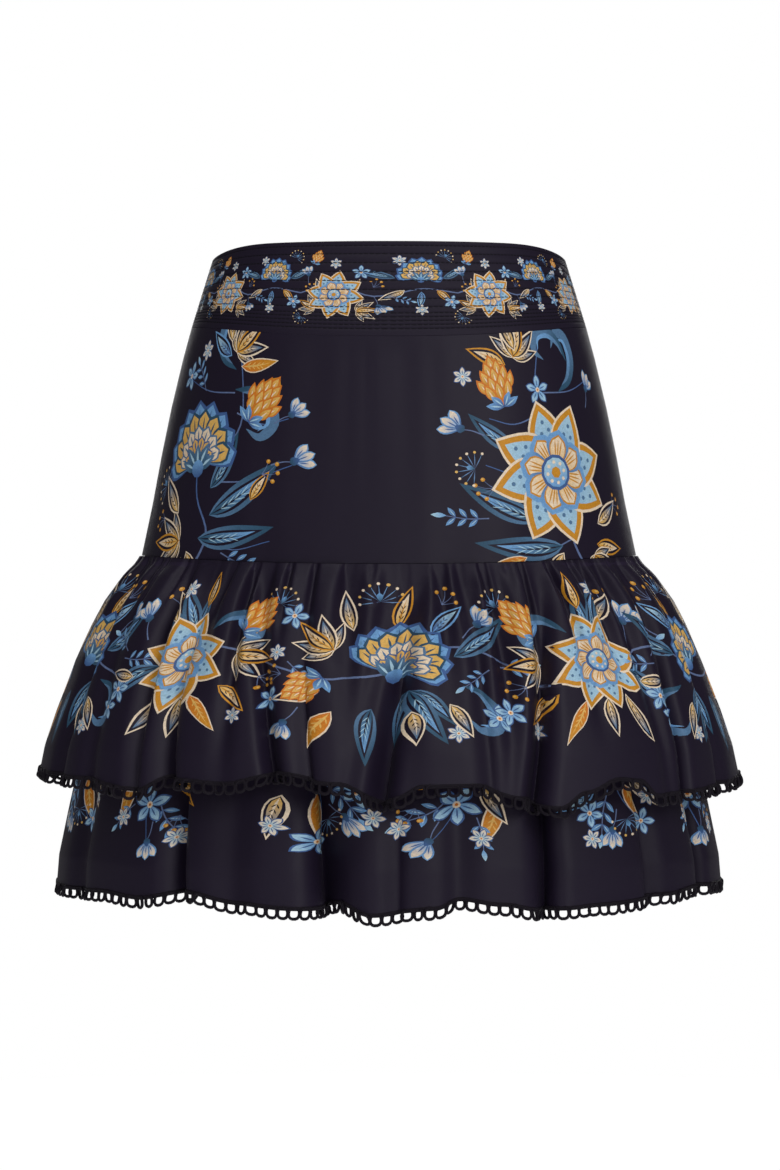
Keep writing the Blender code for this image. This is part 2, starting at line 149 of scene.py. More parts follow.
LOWER_FRONT_HEM = (
    (0.0, -0.4255), (0.13, -0.4265), (0.19, -0.4255), (0.245, -0.428), (0.305, -0.4225), (0.36, -0.429),
    (0.42, -0.432), (0.455, -0.4285), (0.485, -0.4355), (0.54, -0.431), (0.563, -0.4255), (0.6, -0.429),
    (0.643, -0.4335), (0.71, -0.431), (0.8, -0.427), (0.85, -0.424), (1.0, -0.425),
)
LOWER_BACK_HEM = (
    (0.0, -0.4255), (0.12, -0.429), (0.2, -0.425), (0.27, -0.432), (0.34, -0.426), (0.42, -0.431),
    (0.48, -0.427), (0.535, -0.435), (0.6, -0.427), (0.67, -0.432), (0.74, -0.425), (0.8, -0.43),
    (0.9, -0.424), (1.0, -0.425),
)

# Rows of topstitching on the waistband, as distances below its top edge at the middle
STITCH_ROWS = (
    0.003, 0.0085, 0.0145, 0.0205, 0.0265, 0.0325, 0.0385, 0.044, 0.048, 0.0506, 0.0532, 0.0558, 0.0584,
)
BAND_DEPTH = TOP_MIDDLE - BAND_MIDDLE
CHANNEL_DEPTH, CHANNEL_REACH = 0.00032, 0.0007


def ease(value):
    """Smooth step from 0 to 1, for a number or an array."""
    value = np.clip(value, 0.0, 1.0)
    return value * value * (3.0 - 2.0 * value)


def blend(start, end, share):
    return start + (end - start) * share


def column(rows, key, index, smooth=False):
    """Read one column of a table at a number or an array of keys."""
    table = np.array(rows if rows[0][0] < rows[-1][0] else rows[::-1])
    keys = np.clip(np.asarray(key, float), table[0, 0], table[-1, 0])
    low = np.clip(np.searchsorted(table[:, 0], keys, side="right") - 1, 0, len(table) - 2)
    share = (keys - table[low, 0]) / (table[low + 1, 0] - table[low, 0])
    share = ease(share) if smooth else share
    return blend(table[low, index], table[low + 1, index], share)


def unit(vectors):
    return vectors / np.linalg.norm(vectors, axis=-1, keepdims=True)


def around(count):
    """Angles spaced evenly round a circle."""
    return np.arange(count) * 2 * math.pi / count


def half_length(half_width, half_depth):
    """Rough length of half a ring."""
    return math.pi * np.hypot(half_width, half_depth) / math.sqrt(2.0)


# How far the cloth beside a steep fold leans over it, in half widths, how far beside the fold it
# leans most, how much narrower the fold's steep side is, and how soon both come on down the drop
LEAN, LEAN_BESIDE, LEAN_PACE = 0.70, 0.9, 1.4
STEEPNESS, STEEP_PACE = 2.2, 1.5
# How much of a fold is there at the seam, and the share of the drop over which the rest comes
FOLD_AT_SEAM, FOLD_START = 0.28, 0.16
# The dip of an edge into its side seam, the dip's reach, and the share over which folds fade out there
SEAM_DIP, SEAM_REACH, SEAM_FADE = 0.0007, 0.0022, 0.05
# Uneven gathers on each side of the upper ruffle: how many, how far the cloth between them swells,
# how they may be placed, wide, deep and long, and how far they may drift, as shares
GATHER_COUNT, GATHER_SEED, GATHER_SWELL = 34, 11, 0.80
GATHER_PLACE, GATHER_DRIFT = (-0.30, 0.30), (-0.6, 0.6)
GATHER_WIDTH, GATHER_LENGTH = (0.10, 0.20), (0.26, 0.50)
GATHER_DEPTHS = (0.50, 0.90, 1.30, 1.90, 2.60)
# How a gather widens down the drop, the shares over which it grows and from which it fades, and the
# swell's size at the seam, the shares over which it grows and fades, and from which it fades
GATHER_WIDENS, GATHER_GROWS, GATHER_FADES = 2.5, 0.06, 0.04
SWELL_AT_SEAM, SWELL_GROWS, SWELL_FADE, SWELL_FADES = 0.35, 0.09, 0.5, 0.15
# Room between the upper ruffle and the lower one beneath it: share of the drop, depth
UNDERLAY_ROOM = (
    (0.0, 0.0014), (0.06, 0.0048), (0.17, 0.0112), (0.28, 0.0152), (0.46, 0.019), (0.65, 0.022),
    (1.0, 0.0235),
)


class Tier:
    """One half ring of cloth, as a surface over place (0 to 1 across) and share (0 to 1 down)."""

    def __init__(self, side, outline, top, low, folds=(), gathers=0, gather_height=0.0, seed=0):
        self.side = side
        self.outline = outline
        self.top = top
        self.low = low
        self.folds = folds
        self.gather_height = gather_height
        self.relief = None
        self.pleats = self.uneven_gathers(gathers, seed)
        middle = float(self.height(0.5, 0.5))
        sizes = [float(column(outline, middle, index)) for index in (1, 2)]
        self.width = float(half_length(*sizes))
        self.drop = float(self.height(0.5, 0.0) - self.height(0.5, 1.0))

    @staticmethod
    def uneven_gathers(count, seed):
        """Gathers as troughs: place, half width as a share, depth, and how far down they run."""
        draw = random.Random(seed)
        rows = []
        for index in range(count):
            place = (index + 0.5 + draw.uniform(*GATHER_PLACE)) / count
            depth = draw.choice(GATHER_DEPTHS)
            rows.append((place, draw.uniform(*GATHER_WIDTH) / count, depth,
                         depth * draw.uniform(*GATHER_LENGTH), draw.uniform(*GATHER_DRIFT) / count))
        return rows

    def height(self, place, share):
        return blend(self.top(place), self.low(place), share)

    def offset(self, place, share, length):
        """How far the cloth stands out of its outline, and how far it shifts along it."""
        out = np.zeros_like(place)
        shift = np.zeros_like(place)
        window = ease(np.minimum(place, 1.0 - place) / SEAM_FADE)
        for top_place, hem_place, half_width, top_depth, hem_depth, steep in self.folds:
            away = (place - blend(top_place, hem_place, share)) * length / half_width
            steepness = 1.0 + STEEPNESS * abs(steep) * ease(share * STEEP_PACE)
            away = np.where(away * steep > 0.0, away * steepness, away)
            depth = blend(top_depth, hem_depth, ease(share)) * ease(share / FOLD_START + FOLD_AT_SEAM)
            out -= depth * np.exp(-away * away)
            beside = away - math.copysign(LEAN_BESIDE, steep)
            shift -= LEAN * steep * ease(share * LEAN_PACE) * np.exp(-beside * beside) * half_width
        if self.gather_height:
            swell = blend(SWELL_AT_SEAM, 1.0, ease(share / SWELL_GROWS))
            swell = swell * (1.0 - ease((share - SWELL_FADES) / SWELL_FADE))
            out += self.gather_height * GATHER_SWELL * swell
            for at, half_width, depth, reach, drift in self.pleats:
                away = (place - at - drift * share) / (half_width * (1.0 + GATHER_WIDENS * share))
                fade = ease(share / GATHER_GROWS + 0.5) * (1.0 - ease((share - GATHER_FADES) / reach))
                out -= self.gather_height * depth * fade * np.exp(-away * away)
            room = column(UNDERLAY_ROOM, share, 1)
            out = np.where(out < 0.0, room * np.tanh(out / room), out)
        if self.relief:
            out += self.relief(place, share)
        edge = np.minimum(place, 1.0 - place) * length
        out = out * window - SEAM_DIP * np.exp(-((edge / SEAM_REACH) ** 2))
        return out, shift * window

    def points(self, place, share, inside=0.0):
        """Points of the surface, moved inwards by a thickness."""
        place, share = np.broadcast_arrays(np.asarray(place, float), np.asarray(share, float))
        height = self.height(place, share)
        half_width = column(self.outline, height, 1)
        half_depth = column(self.outline, height, 2)
        power = blend(POWER_WAIST, POWER_HEM, np.clip(height / HEM_HEIGHT, 0.0, 1.0))
        length = half_length(half_width, half_depth)
        out, shift = self.offset(place, share, length)
        angle = math.pi * (np.clip(place + shift / length, 0.0, 1.0) - 0.5)
        across, along = np.sin(angle), np.clip(np.cos(angle), 0.0, None)
        share_x = np.abs(across) ** (2.0 / power)
        share_y = along ** (2.0 / power)
        out_x = np.sign(across) * share_x ** (power - 1.0) / half_width
        out_y = self.side * share_y ** (power - 1.0) / half_depth
        reach = np.hypot(out_x, out_y)
        away = out - inside
        x = np.sign(across) * half_width * share_x + out_x / reach * away
        y = self.side * half_depth * share_y + out_y / reach * away
        return np.stack([x, y, height], axis=-1)

    def normals(self, place, share):
        """Outward directions, from the slopes of the surface."""
        step_place, step_share = 0.0004, 0.002
        place = np.clip(place, step_place, 1.0 - step_place)
        share = np.clip(share, step_share, 1.0 - step_share)
        across = self.points(place + step_place, share) - self.points(place - step_place, share)
        down = self.points(place, share + step_share) - self.points(place, share - step_share)
        return unit(np.cross(down, across) * -self.side)


def middle_share(place):
    return np.sin(math.pi * np.asarray(place, float))


def seam_line(side_height, middle_height, drop=0.0):
    return lambda place: blend(side_height, middle_height, middle_share(place) ** 2) - drop


def top_line(place):
    return blend(TOP_SIDE, TOP_MIDDLE, ease(middle_share(place) / 0.8))


def hem_line(rows):
    return lambda place: column(rows, place, 1, smooth=True)


def band_relief(place, share):
    """The waistband's channels: the cloth swells a little between its rows of stitches."""
    depth = share * BAND_DEPTH
    dip = np.zeros_like(share)
    for row in STITCH_ROWS:
        dip += np.exp(-(((depth - row) / CHANNEL_REACH) ** 2))
    return -CHANNEL_DEPTH * dip


def make_tier(name, side):
    """The surface of one tier's front or back."""
    front = side == FRONT
    if name == "waistband":
        tier = Tier(side, BODY_OUTLINE, top_line, seam_line(BAND_SIDE, BAND_MIDDLE))
        tier.relief = band_relief
        return tier
    if name == "yoke":
        folds = YOKE_FRONT_FOLDS if front else YOKE_BACK_FOLDS
        top = seam_line(BAND_SIDE, BAND_MIDDLE, SEAM_GAP)
        return Tier(side, BODY_OUTLINE, top, seam_line(YOKE_SIDE, YOKE_MIDDLE), folds)
    if name == "upper_ruffle":
        folds = UPPER_FRONT_FOLDS if front else UPPER_BACK_FOLDS
        hem = hem_line(UPPER_FRONT_HEM if front else UPPER_BACK_HEM)
        top = seam_line(YOKE_SIDE, YOKE_MIDDLE, SEAM_GAP)
        gathers = bpy.context.scene.miniskirt_cloth.gathers
        return Tier(side, UPPER_OUTLINE, top, hem, folds, GATHER_COUNT, gathers, GATHER_SEED + side)
    folds = LOWER_FRONT_FOLDS if front else LOWER_BACK_FOLDS
    hem = hem_line(LOWER_FRONT_HEM if front else LOWER_BACK_HEM)
    return Tier(side, LOWER_OUTLINE, seam_line(YOKE_SIDE, YOKE_MIDDLE, -TUCK), hem, folds)


# The drawing of the print, in millimetres on the flat panel

def linear(red, green, blue):
    """A colour as seen on a screen, turned into linear light."""
    return tuple(((part / 255 + 0.055) / 1.055) ** 2.4 if part > 10 else part / 3294.6
                 for part in (red, green, blue))


# The inks of the print, each with its name in the panel, what it colours and its colour
INKS = {
    "ground": ("Ground", "The cloth's own colour", linear(28, 21, 38)),
    "cream": ("Cream", "Leaf edges and pale petals", linear(232, 212, 186)),
    "pale": ("Pale blue", "The palest blue of petals", linear(166, 200, 218)),
    "sky": ("Sky blue", "Small flowers and petal grounds", linear(112, 160, 208)),
    "blue": ("Blue", "Flower edges and cups", linear(64, 94, 146)),
    "steel": ("Steel blue", "Edges of long leaves", linear(84, 118, 152)),
    "teal": ("Teal", "Scrolls and the shade in long leaves", linear(44, 78, 102)),
    "slate": ("Slate", "Stems", linear(96, 112, 150)),
    "ochre": ("Ochre", "Petal rims and gold outlines", linear(200, 138, 42)),
    "gold": ("Gold", "Inner petals and leaf fillings", linear(222, 178, 98)),
    "orange": ("Orange", "Buds and filled leaves", linear(206, 118, 38)),
}


def ink_colour(name):
    """The colour that an ink has in the cloth settings."""
    return tuple(getattr(bpy.context.scene.miniskirt_cloth, name))


class Drawing:
    """Closed outlines laid one over another, each with an ink that may change along its length."""

    def __init__(self):
        self.outlines = []
        self.inks = []
        self.axes = []

    def add(self, outline, ink, far_ink, start, end):
        self.outlines.append(np.asarray(outline, float))
        self.inks.append((ink_colour(ink), ink_colour(far_ink or ink)))
        self.axes.append((start, end))


class Pen:
    """A place, turn and size on a drawing, from which motifs are drawn."""

    def __init__(self, drawing, x=0.0, y=0.0, turn=0.0, size=1.0, flip=1.0):
        self.drawing = drawing
        self.x, self.y, self.turn, self.size, self.flip = x, y, turn, size, flip

    def at(self, points):
        """Turn the motif's own points, x to its right and y ahead, into the drawing's."""
        points = np.atleast_2d(np.asarray(points, float)) * self.size
        angle = math.radians(self.turn)
        x, y = points[:, 0] * self.flip, points[:, 1]
        turned = np.stack([x * math.cos(angle) + y * math.sin(angle),
                           y * math.cos(angle) - x * math.sin(angle)], axis=1)
        return turned + (self.x, self.y)

    def moved(self, x=0.0, y=0.0, turn=0.0, size=1.0, flip=1.0):
        """A pen at a place of this motif, turned clockwise from it."""
        (new_x, new_y), = self.at((x, y))
        return Pen(self.drawing, new_x, new_y, self.turn + turn * self.flip, self.size * size,
                   self.flip * flip)

    def fill(self, points, ink, far_ink=None, start=(0.0, 0.0), end=(0.0, 1.0)):
        start, end = self.at((start, end))
        self.drawing.add(self.at(points), ink, far_ink, start, end)

    def petal(self, length, width, ink, far_ink=None, peak=0.5, tip=1.0, bend=0.0, base=0.0, steps=7):
        """A petal or leaf ahead of the pen: peak places its widest part, tip sharpens its end."""
        share = np.linspace(0.0, 1.0, steps + 1)
        half = width / 2 * np.sin(math.pi * share ** (math.log(0.5) / math.log(peak))) ** tip
        middle = bend * share ** 2
        ahead = base + share * length
        right = np.stack([middle + half, ahead], axis=1)
        left = np.stack([middle - half, ahead], axis=1)[1:-1][::-1]
        self.fill(np.concatenate([right, left]), ink, far_ink, (0, base), (bend, base + length))

    def rib(self, length, width, ink, base=0.0, peak=0.5):
        """A fine line ahead of the pen."""
        self.petal(length, width, ink, None, peak, base=base, steps=3)

    def disc(self, radius, ink, far_ink=None, sides=9):
        angles = around(sides)
        self.fill(np.stack([np.cos(angles), np.sin(angles)], axis=1) * radius, ink, far_ink,
                  (0, -radius), (0, radius))

    def stem(self, places, width, ink, far_ink=None, end_width=0.5, steps=5, swell=0.0):
        """A stroke through places by a smooth curve, tapering to its end or swelling between two tips."""
        places = np.asarray(places, float)
        padded = np.concatenate([[2 * places[0] - places[1]], places, [2 * places[-1] - places[-2]]])
        line = []
        for before, start, end, after in zip(padded, padded[1:], padded[2:], padded[3:]):
            for share in np.arange(steps) / steps:
                curve = 2 * start + (end - before) * share
                curve = curve + (2 * before - 5 * start + 4 * end - after) * share ** 2
                curve = curve + (3 * start - before - 3 * end + after) * share ** 3
                line.append(curve / 2)
        line = np.array(line + [places[-1]])
        along = np.gradient(line, axis=0)
        aside = unit(np.stack([-along[:, 1], along[:, 0]], axis=1))
        share = np.linspace(0.0, 1.0, len(line))
        half = blend(width, width * end_width, share) / 2
        if swell:
            half = half * np.maximum(np.sin(math.pi * share) ** swell, 0.05)
        half = half[:, None]
        self.fill(np.concatenate([line - aside * half, (line + aside * half)[::-1]]), ink, far_ink,
                  places[0], places[-1])


def leaf(pen, edge="cream", near="gold", far="steel"):
    """A pointed leaf: an edge, a dark gap, and a filled middle with veins."""
    pen.petal(26, 9.6, edge, None, 0.42, bend=3.0)
    pen.petal(23.2, 7.4, "ground", None, 0.42, bend=2.6, base=1.0)
    pen.petal(19.5, 4.8, near, far, 0.40, bend=2.0, base=1.6)
    pen.petal(17, 0.9, edge, None, 0.30, bend=1.6, base=1.6, steps=5)
    for side, place in product((-1, 1), (5.5, 8.5, 11.5)):
        pen.moved(0.5, place, side * 30).petal(2.8, 0.6, "ground", None, 0.55, 0.8, steps=3)


def blue_leaf(pen):
    leaf(pen, "sky", "blue", "pale")


def gold_leaf(pen):
    leaf(pen, "ochre", "gold", "cream")


def orange_leaf(pen):
    """A filled leaf in orange with a pale rib."""
    pen.petal(28, 8.8, "cream", None, 0.42, 0.95, bend=-4.0)
    pen.petal(26, 7.4, "orange", "ochre", 0.42, 0.95, bend=-3.7, base=0.8)
    pen.petal(21, 1.2, "gold", None, 0.30, bend=-2.6, base=1.5, steps=5)
    for place, turn in product((5, 8.5, 12, 15), (36, -36)):
        pen.moved(-0.4 - place * 0.02, place, turn).petal(3.8, 0.7, "gold", None, 0.55, 0.8, steps=3)


def plume(pen):
    """A long curled leaf: a thick edge, dark gaps, and a lighter blade with a rib."""
    bend = -8.0
    pen.petal(38, 11.0, "steel", "teal", 0.42, 0.9, bend=bend, steps=11)
    pen.petal(33, 7.0, "ground", None, 0.42, bend=bend * 0.80, base=0.5, steps=9)
    pen.petal(30, 4.6, "teal", "sky", 0.42, bend=bend * 0.68, steps=9)
    pen.petal(25, 0.8, "ground", None, 0.3, bend=bend * 0.46, base=1.0)
    for side, place in product((-1, 1), (0.20, 0.32, 0.44, 0.56)):
        barb = pen.moved(bend * place ** 2 * 0.62, 31 * place, side * 20 - 16 * place)
        barb.rib(5.5, 0.5, "pale", peak=0.4)


def plumes(pen):
    """Three plumes from one foot."""
    for turn, size, flip in ((-36, 0.80, -1.0), (40, 0.85, 1.0), (4, 1.0, 1.0)):
        plume(pen.moved(turn=turn, size=size, flip=flip))


def leaves(pen):
    """A fan of pointed leaves, the middle one in gold."""
    for turn, size in ((-64, 0.75), (64, 0.75), (-33, 0.95), (33, 0.95)):
        leaf(pen.moved(turn=turn, size=size))
    gold_leaf(pen.moved(size=1.05))


def blossom(pen):
    """An open flower of eight pointed petals: pale edged in ochre, then gold ones, then the heart."""
    for index in range(8):
        petal = pen.moved(turn=index * 45)
        bend = 3.4 if index % 2 else 1.4
        petal.petal(22.8, 14.0, "cream", None, 0.50, 0.96, bend=bend, steps=9)
        petal.petal(21.8, 12.6, "ochre", None, 0.50, 0.96, bend=bend, steps=9)
        petal.petal(19.4, 9.2, "sky", "pale", 0.52, 0.96, bend=bend * 0.9, steps=9)
        for aside, along in ((bend * 0.6, 15.8), (bend * 0.3 - 1.4, 13.2), (bend * 0.3 + 1.6, 12.4)):
            petal.moved(aside, along).disc(0.72, "steel", sides=6)
    for index in range(8):
        petal = pen.moved(turn=index * 45 + 22.5)
        petal.petal(13.4, 9.4, "blue", "sky", 0.66, 0.62)
        petal.petal(11.8, 7.0, "ochre", None, 0.66, 0.66)
        petal.petal(11.2, 6.0, "gold", "cream", 0.66, 0.66)
        for turn in (-8, 0, 8):
            petal.moved(turn=turn).rib(6.4, 0.55, "ochre", 4.2)
    pen.disc(5.6, "blue", sides=12)
    pen.disc(4.6, "sky", "pale", sides=12)
    for index in range(8):
        pen.moved(turn=index * 45).moved(0, 3.2).disc(0.66, "cream", sides=5)
    pen.disc(1.8, "ochre", sides=7)


def fan(pen):
    """A half-open flower seen from the side, over its cup of sepals."""
    radius = 22.0
    for ring, (reach, rim, near, far) in enumerate((
        (1.00, "blue", "steel", "sky"), (0.86, "teal", "ochre", "gold"),
        (0.62, "steel", "gold", "cream"), (0.44, "blue", "ochre", "gold"),
    )):
        for share in np.arange(9 - ring) / (8 - ring) - 0.5:
            petal = pen.moved(turn=share * (172 - 12 * ring))
            long = radius * reach * (1.0 - 0.16 * (2 * share) ** 2)
            petal.petal(long, radius * 0.40 * reach, rim, None, 0.76, 0.56)
            petal.petal(long * 0.94, radius * 0.31 * reach, near, far, 0.77, 0.56)
            petal.rib(long * 0.34, 0.8, rim, long * 0.52)
    for turn, long in ((-68, 0.42), (68, 0.42), (-36, 0.46), (36, 0.46), (0, 0.40)):
        sepal = pen.moved(0, -radius * 0.08, turn)
        sepal.petal(radius * long, radius * 0.19, "teal", "steel", 0.45, steps=5)
        sepal.petal(radius * long * 0.70, radius * 0.05, "pale", None, 0.45, base=1.0, steps=4)
    pen.moved(0, -radius * 0.07).disc(radius * 0.14, "blue", "sky")


def bud(pen):
    """A closed bud of overlapping pointed scales over its sepals."""
    pen.petal(24, 14, "orange", "ochre", 0.44, 0.75, steps=9)
    for place, count in ((15.5, 1), (13.0, 2), (10.0, 3), (6.5, 4), (3.0, 3)):
        for index in range(count):
            aside = (index - (count - 1) / 2) * 3.5
            scale = pen.moved(aside, place, aside * 5.0)
            scale.petal(9.0, 4.6, "orange", None, 0.42, 0.9, steps=6)
            scale.petal(7.6, 3.4, "ochre", "gold", 0.42, 0.9, steps=6)
            scale.rib(4.8, 0.8, "cream", 0.6, 0.45)
    for turn, long in ((-72, 9), (72, 9), (-38, 8), (38, 8)):
        sepal = pen.moved(0, -1, turn)
        sepal.petal(long, 3.6, "blue", "sky", steps=5)
        sepal.rib(long * 0.7, 0.8, "pale", 0.8)


def star(pen, ink="sky", line="pale", petals=5):
    """A small open flower of narrow petals."""
    for index in range(petals):
        petal = pen.moved(turn=index * 360 / petals)
        petal.petal(10, 5.6, "blue", None, 0.58, 0.9, steps=6)
        petal.petal(9.2, 4.2, ink, line, 0.58, 0.9, steps=6)
        petal.rib(5.2, 0.8, "blue", 1.6)
    pen.disc(1.7, "cream", sides=7)
    pen.disc(0.8, "orange", sides=5)


def daisy(pen):
    star(pen.moved(size=0.62), "pale", "cream", petals=6)


def bell(pen):
    """A nodding bell flower on a curved stalk."""
    pen.stem(((-3, -12), (-2, -5), (0, 0)), 0.8, "slate")
    for turn in (-30, 30, 0):
        lobe = pen.moved(turn=turn)
        lobe.petal(13, 6.0, "blue", "sky", 0.64, 0.75)
        lobe.petal(11.6, 4.0, "sky", "cream", 0.66, 0.75, base=0.8)
        lobe.rib(6.0, 0.8, "blue", 3.0)
    pen.petal(6, 5, "teal", "blue", 0.35, 0.9, base=-1.5, steps=5)


def berries(pen):
    """Berries on short stalks that meet at the pen."""
    places = ((-5, 7), (-1, 11), (4, 9), (7, 4))
    for x, y in places:
        pen.stem(((0, 0), (x * 0.5 + y * 0.08, y * 0.5), (x, y)), 0.45, "slate", steps=3)
    for x, y in places:
        berry = pen.moved(x, y)
        berry.disc(1.35, "ochre", sides=8)
        berry.moved(-0.3, 0.3).disc(0.65, "gold", sides=6)


def thistle(pen):
    """A burst of fine rays, each ending in a dot."""
    for index in range(9):
        ray = pen.moved(turn=(index - 4) * 25)
        ray.petal(11, 0.55, "slate", "sky", tip=0.5, steps=2)
        ray.moved(0, 11.2).disc(0.95, "gold" if index % 2 else "cream", sides=6)
    pen.petal(5.5, 3.4, "teal", "sky", 0.6, 0.8, steps=5)


def hook(pen):
    """A scroll of a leaf that curls over."""
    curl = ((0, 0), (-1, 12), (4, 23), (14, 28), (22, 22), (19, 13))
    pen.stem(curl, 8.0, "teal", "steel", 0.8, swell=0.8)
    inner = ((0.6, 5), (0.6, 13), (5.5, 21.5), (14, 25), (19, 20))
    pen.stem(inner, 3.0, "steel", "sky", 0.9, swell=0.8)


def twig(pen):
    """A thin stem with pairs of small leaves and a tip."""
    pen.stem(((0, 0), (1.2, 12), (0, 25)), 0.8, "slate")
    for place, side in product((6, 12, 18), (-1, 1)):
        small = pen.moved(0.6, place, side * 50)
        small.petal(7.5, 2.8, "blue", "sky", steps=5)
        small.rib(5.0, 0.6, "pale", 0.8)
    pen.moved(0, 23).petal(8, 3.2, "sky", "pale", steps=5)


MOTIFS = {motif.__name__: motif for motif in (
    leaf, blue_leaf, gold_leaf, orange_leaf, plume, plumes, leaves, blossom, fan, bud, star, daisy,
    bell, berries, thistle, hook, twig,
)}


def draw_rows(pen, rows):
    """Draw motifs from rows of name, x, y, turn and size."""
    for name, x, y, turn, size in rows:
        MOTIFS[name](pen.moved(x, y, turn=turn, size=size))


# One side of the yoke, x towards the middle of the skirt, y up from the ruffle's seam, then the
# branch's stems with their widths, its place as a share of the width, its foot and its size
FAN_BRANCH = (
    ("plume", -2, 30, 64, 1.45), ("plume", -8, 16, 92, 1.3), ("plume", -4, 46, 38, 1.0),
    ("leaves", -24, 14, -100, 1.1), ("leaf", -30, 30, -52, 1.2), ("leaf", -16, 8, 150, 1.0),
    ("orange_leaf", -20, 4, -150, 0.9), ("twig", 10, 8, 108, 1.0), ("gold_leaf", 26, 40, 24, 0.8),
    ("hook", 6, 106, 96, 1.15), ("hook", 4, 118, -60, 1.05), ("leaves", 2, 128, 40, 1.05),
    ("leaf", -4, 134, -20, 1.1), ("blue_leaf", -2, 126, -66, 1.05), ("orange_leaf", 8, 120, 88, 1.0),
    ("bell", 50, 64, 66, 1.05), ("bell", 47, 92, 48, 0.9), ("star", -46, 112, 10, 0.95),
    ("daisy", -30, 128, 0, 1.1), ("berries", 32, 56, 60, 1.0), ("thistle", -52, 46, -60, 1.0),
    ("berries", -46, 26, -110, 0.9), ("twig", -22, 104, -44, 0.9), ("bud", 20, 88, 34, 1.35),
    ("fan", -18, 60, -12, 1.78),
)
BLOSSOM_BRANCH = (
    ("plume", 20, 28, 74, 1.3), ("plume", 6, 12, 98, 1.35), ("plume", 30, 70, 62, 0.95),
    ("leaf", -26, 24, -70, 1.15), ("gold_leaf", -22, 12, -104, 1.05), ("leaves", -18, 6, -150, 0.9),
    ("leaf", 6, 8, 140, 0.95), ("orange_leaf", 30, 6, 112, 0.85), ("twig", 50, 30, 84, 0.95),
    ("hook", -8, 104, -56, 1.15), ("hook", -22, 122, 30, 1.0), ("leaves", 26, 126, -24, 1.05),
    ("leaf", 24, 130, 16, 1.15), ("gold_leaf", 32, 122, 60, 1.05), ("bell", 62, 84, 58, 1.05),
    ("bell", -40, 104, -40, 0.95), ("star", 10, 106, 0, 0.95), ("daisy", 60, 116, 0, 1.0),
    ("berries", 46, 48, 84, 0.95), ("thistle", 56, 60, 74, 0.9), ("berries", -48, 34, -90, 0.95),
    ("bud", 36, 98, 14, 1.3), ("blossom", 4, 56, 8, 1.95),
)
BRANCH_STEMS = (
    (((-12, -8), (-2, 18), (-14, 40), (-18, 60)), 1.7), (((-14, 58), (12, 80), (12, 108), (-4, 156)), 1.4),
    (((0, 50), (24, 52), (50, 62)), 1.0), (((10, 92), (30, 86), (46, 90)), 1.0),
    (((-2, 16), (18, 10), (40, 16)), 0.9), (((6, 104), (-18, 104), (-44, 110)), 0.9),
)
BRANCH_PLACE, BRANCH_FOOT, BRANCH_SIZE = 0.245, -4.0, 1.08


def draw_yoke(side, width):
    """A branch that climbs each side of the yoke, and a bare middle."""
    drawing = Drawing()
    for end, rows in ((side, FAN_BRANCH), (-side, BLOSSOM_BRANCH)):
        pen = Pen(drawing, end * width * BRANCH_PLACE, BRANCH_FOOT, size=BRANCH_SIZE, flip=-end)
        for places, thick in BRANCH_STEMS:
            pen.stem(places, thick, "slate", "blue")
        draw_rows(pen, rows)
    return drawing


# Two stretches of garland, each round its own middle, their height above the hem and their length
GARLAND_WITH_BLOSSOM = (
    ("plumes", -8, 12, -20, 1.1), ("plume", -32, -6, -118, 1.15), ("leaves", 30, 2, 96, 1.0),
    ("leaf", -24, -26, -158, 1.15), ("leaf", -8, -30, 178, 1.05), ("orange_leaf", 8, -28, 150, 1.05),
    ("gold_leaf", 24, -20, 126, 1.0), ("hook", 12, 18, 52, 1.0), ("bell", -48, 24, -36, 1.15),
    ("star", -56, -24, 0, 1.05), ("star", 56, -32, 20, 0.95), ("berries", -34, 34, -14, 1.1),
    ("berries", 46, -14, 116, 1.0), ("thistle", 56, 36, 24, 1.05), ("twig", -58, 2, -66, 1.0),
    ("daisy", -24, 46, 0, 1.1), ("daisy", 36, -40, 0, 1.0), ("twig", 66, -6, 130, 0.9),
    ("leaf", -44, -14, -96, 0.95), ("gold_leaf", -2, 32, -8, 1.0), ("leaf", -22, 24, -44, 0.95),
    ("bud", 34, 18, 40, 1.25), ("blossom", -8, -4, 12, 1.5),
)
GARLAND_WITH_FAN = (
    ("plumes", 12, -14, 164, 1.05), ("plume", 34, 8, 62, 1.2), ("leaves", -28, 12, -58, 1.05),
    ("leaf", -18, 26, -20, 1.1), ("gold_leaf", 4, 30, 12, 1.1), ("blue_leaf", 22, 24, 40, 1.05),
    ("leaf", -34, -18, -112, 1.15), ("orange_leaf", -28, -30, -150, 1.1), ("hook", 38, -12, 118, 1.0),
    ("bell", 50, 30, 34, 1.1), ("bell", -54, -42, 200, 1.05), ("star", 58, -30, 0, 0.95),
    ("star", -54, 34, 20, 1.0), ("berries", 30, 44, 20, 1.05), ("berries", -58, -8, -96, 1.0),
    ("thistle", -4, 48, -6, 1.05), ("daisy", 34, -44, 0, 1.1), ("twig", 62, 4, 84, 1.0),
    ("plume", -8, -22, -164, 1.0), ("leaf", 30, -24, 146, 1.0), ("leaf", 12, -28, 172, 0.9),
    ("daisy", -62, 8, 0, 1.0), ("bud", -34, -8, -128, 1.2), ("fan", 4, 2, 24, 1.5),
)
GARLAND_HEIGHT, GARLAND_LENGTH = 82.0, 122.0


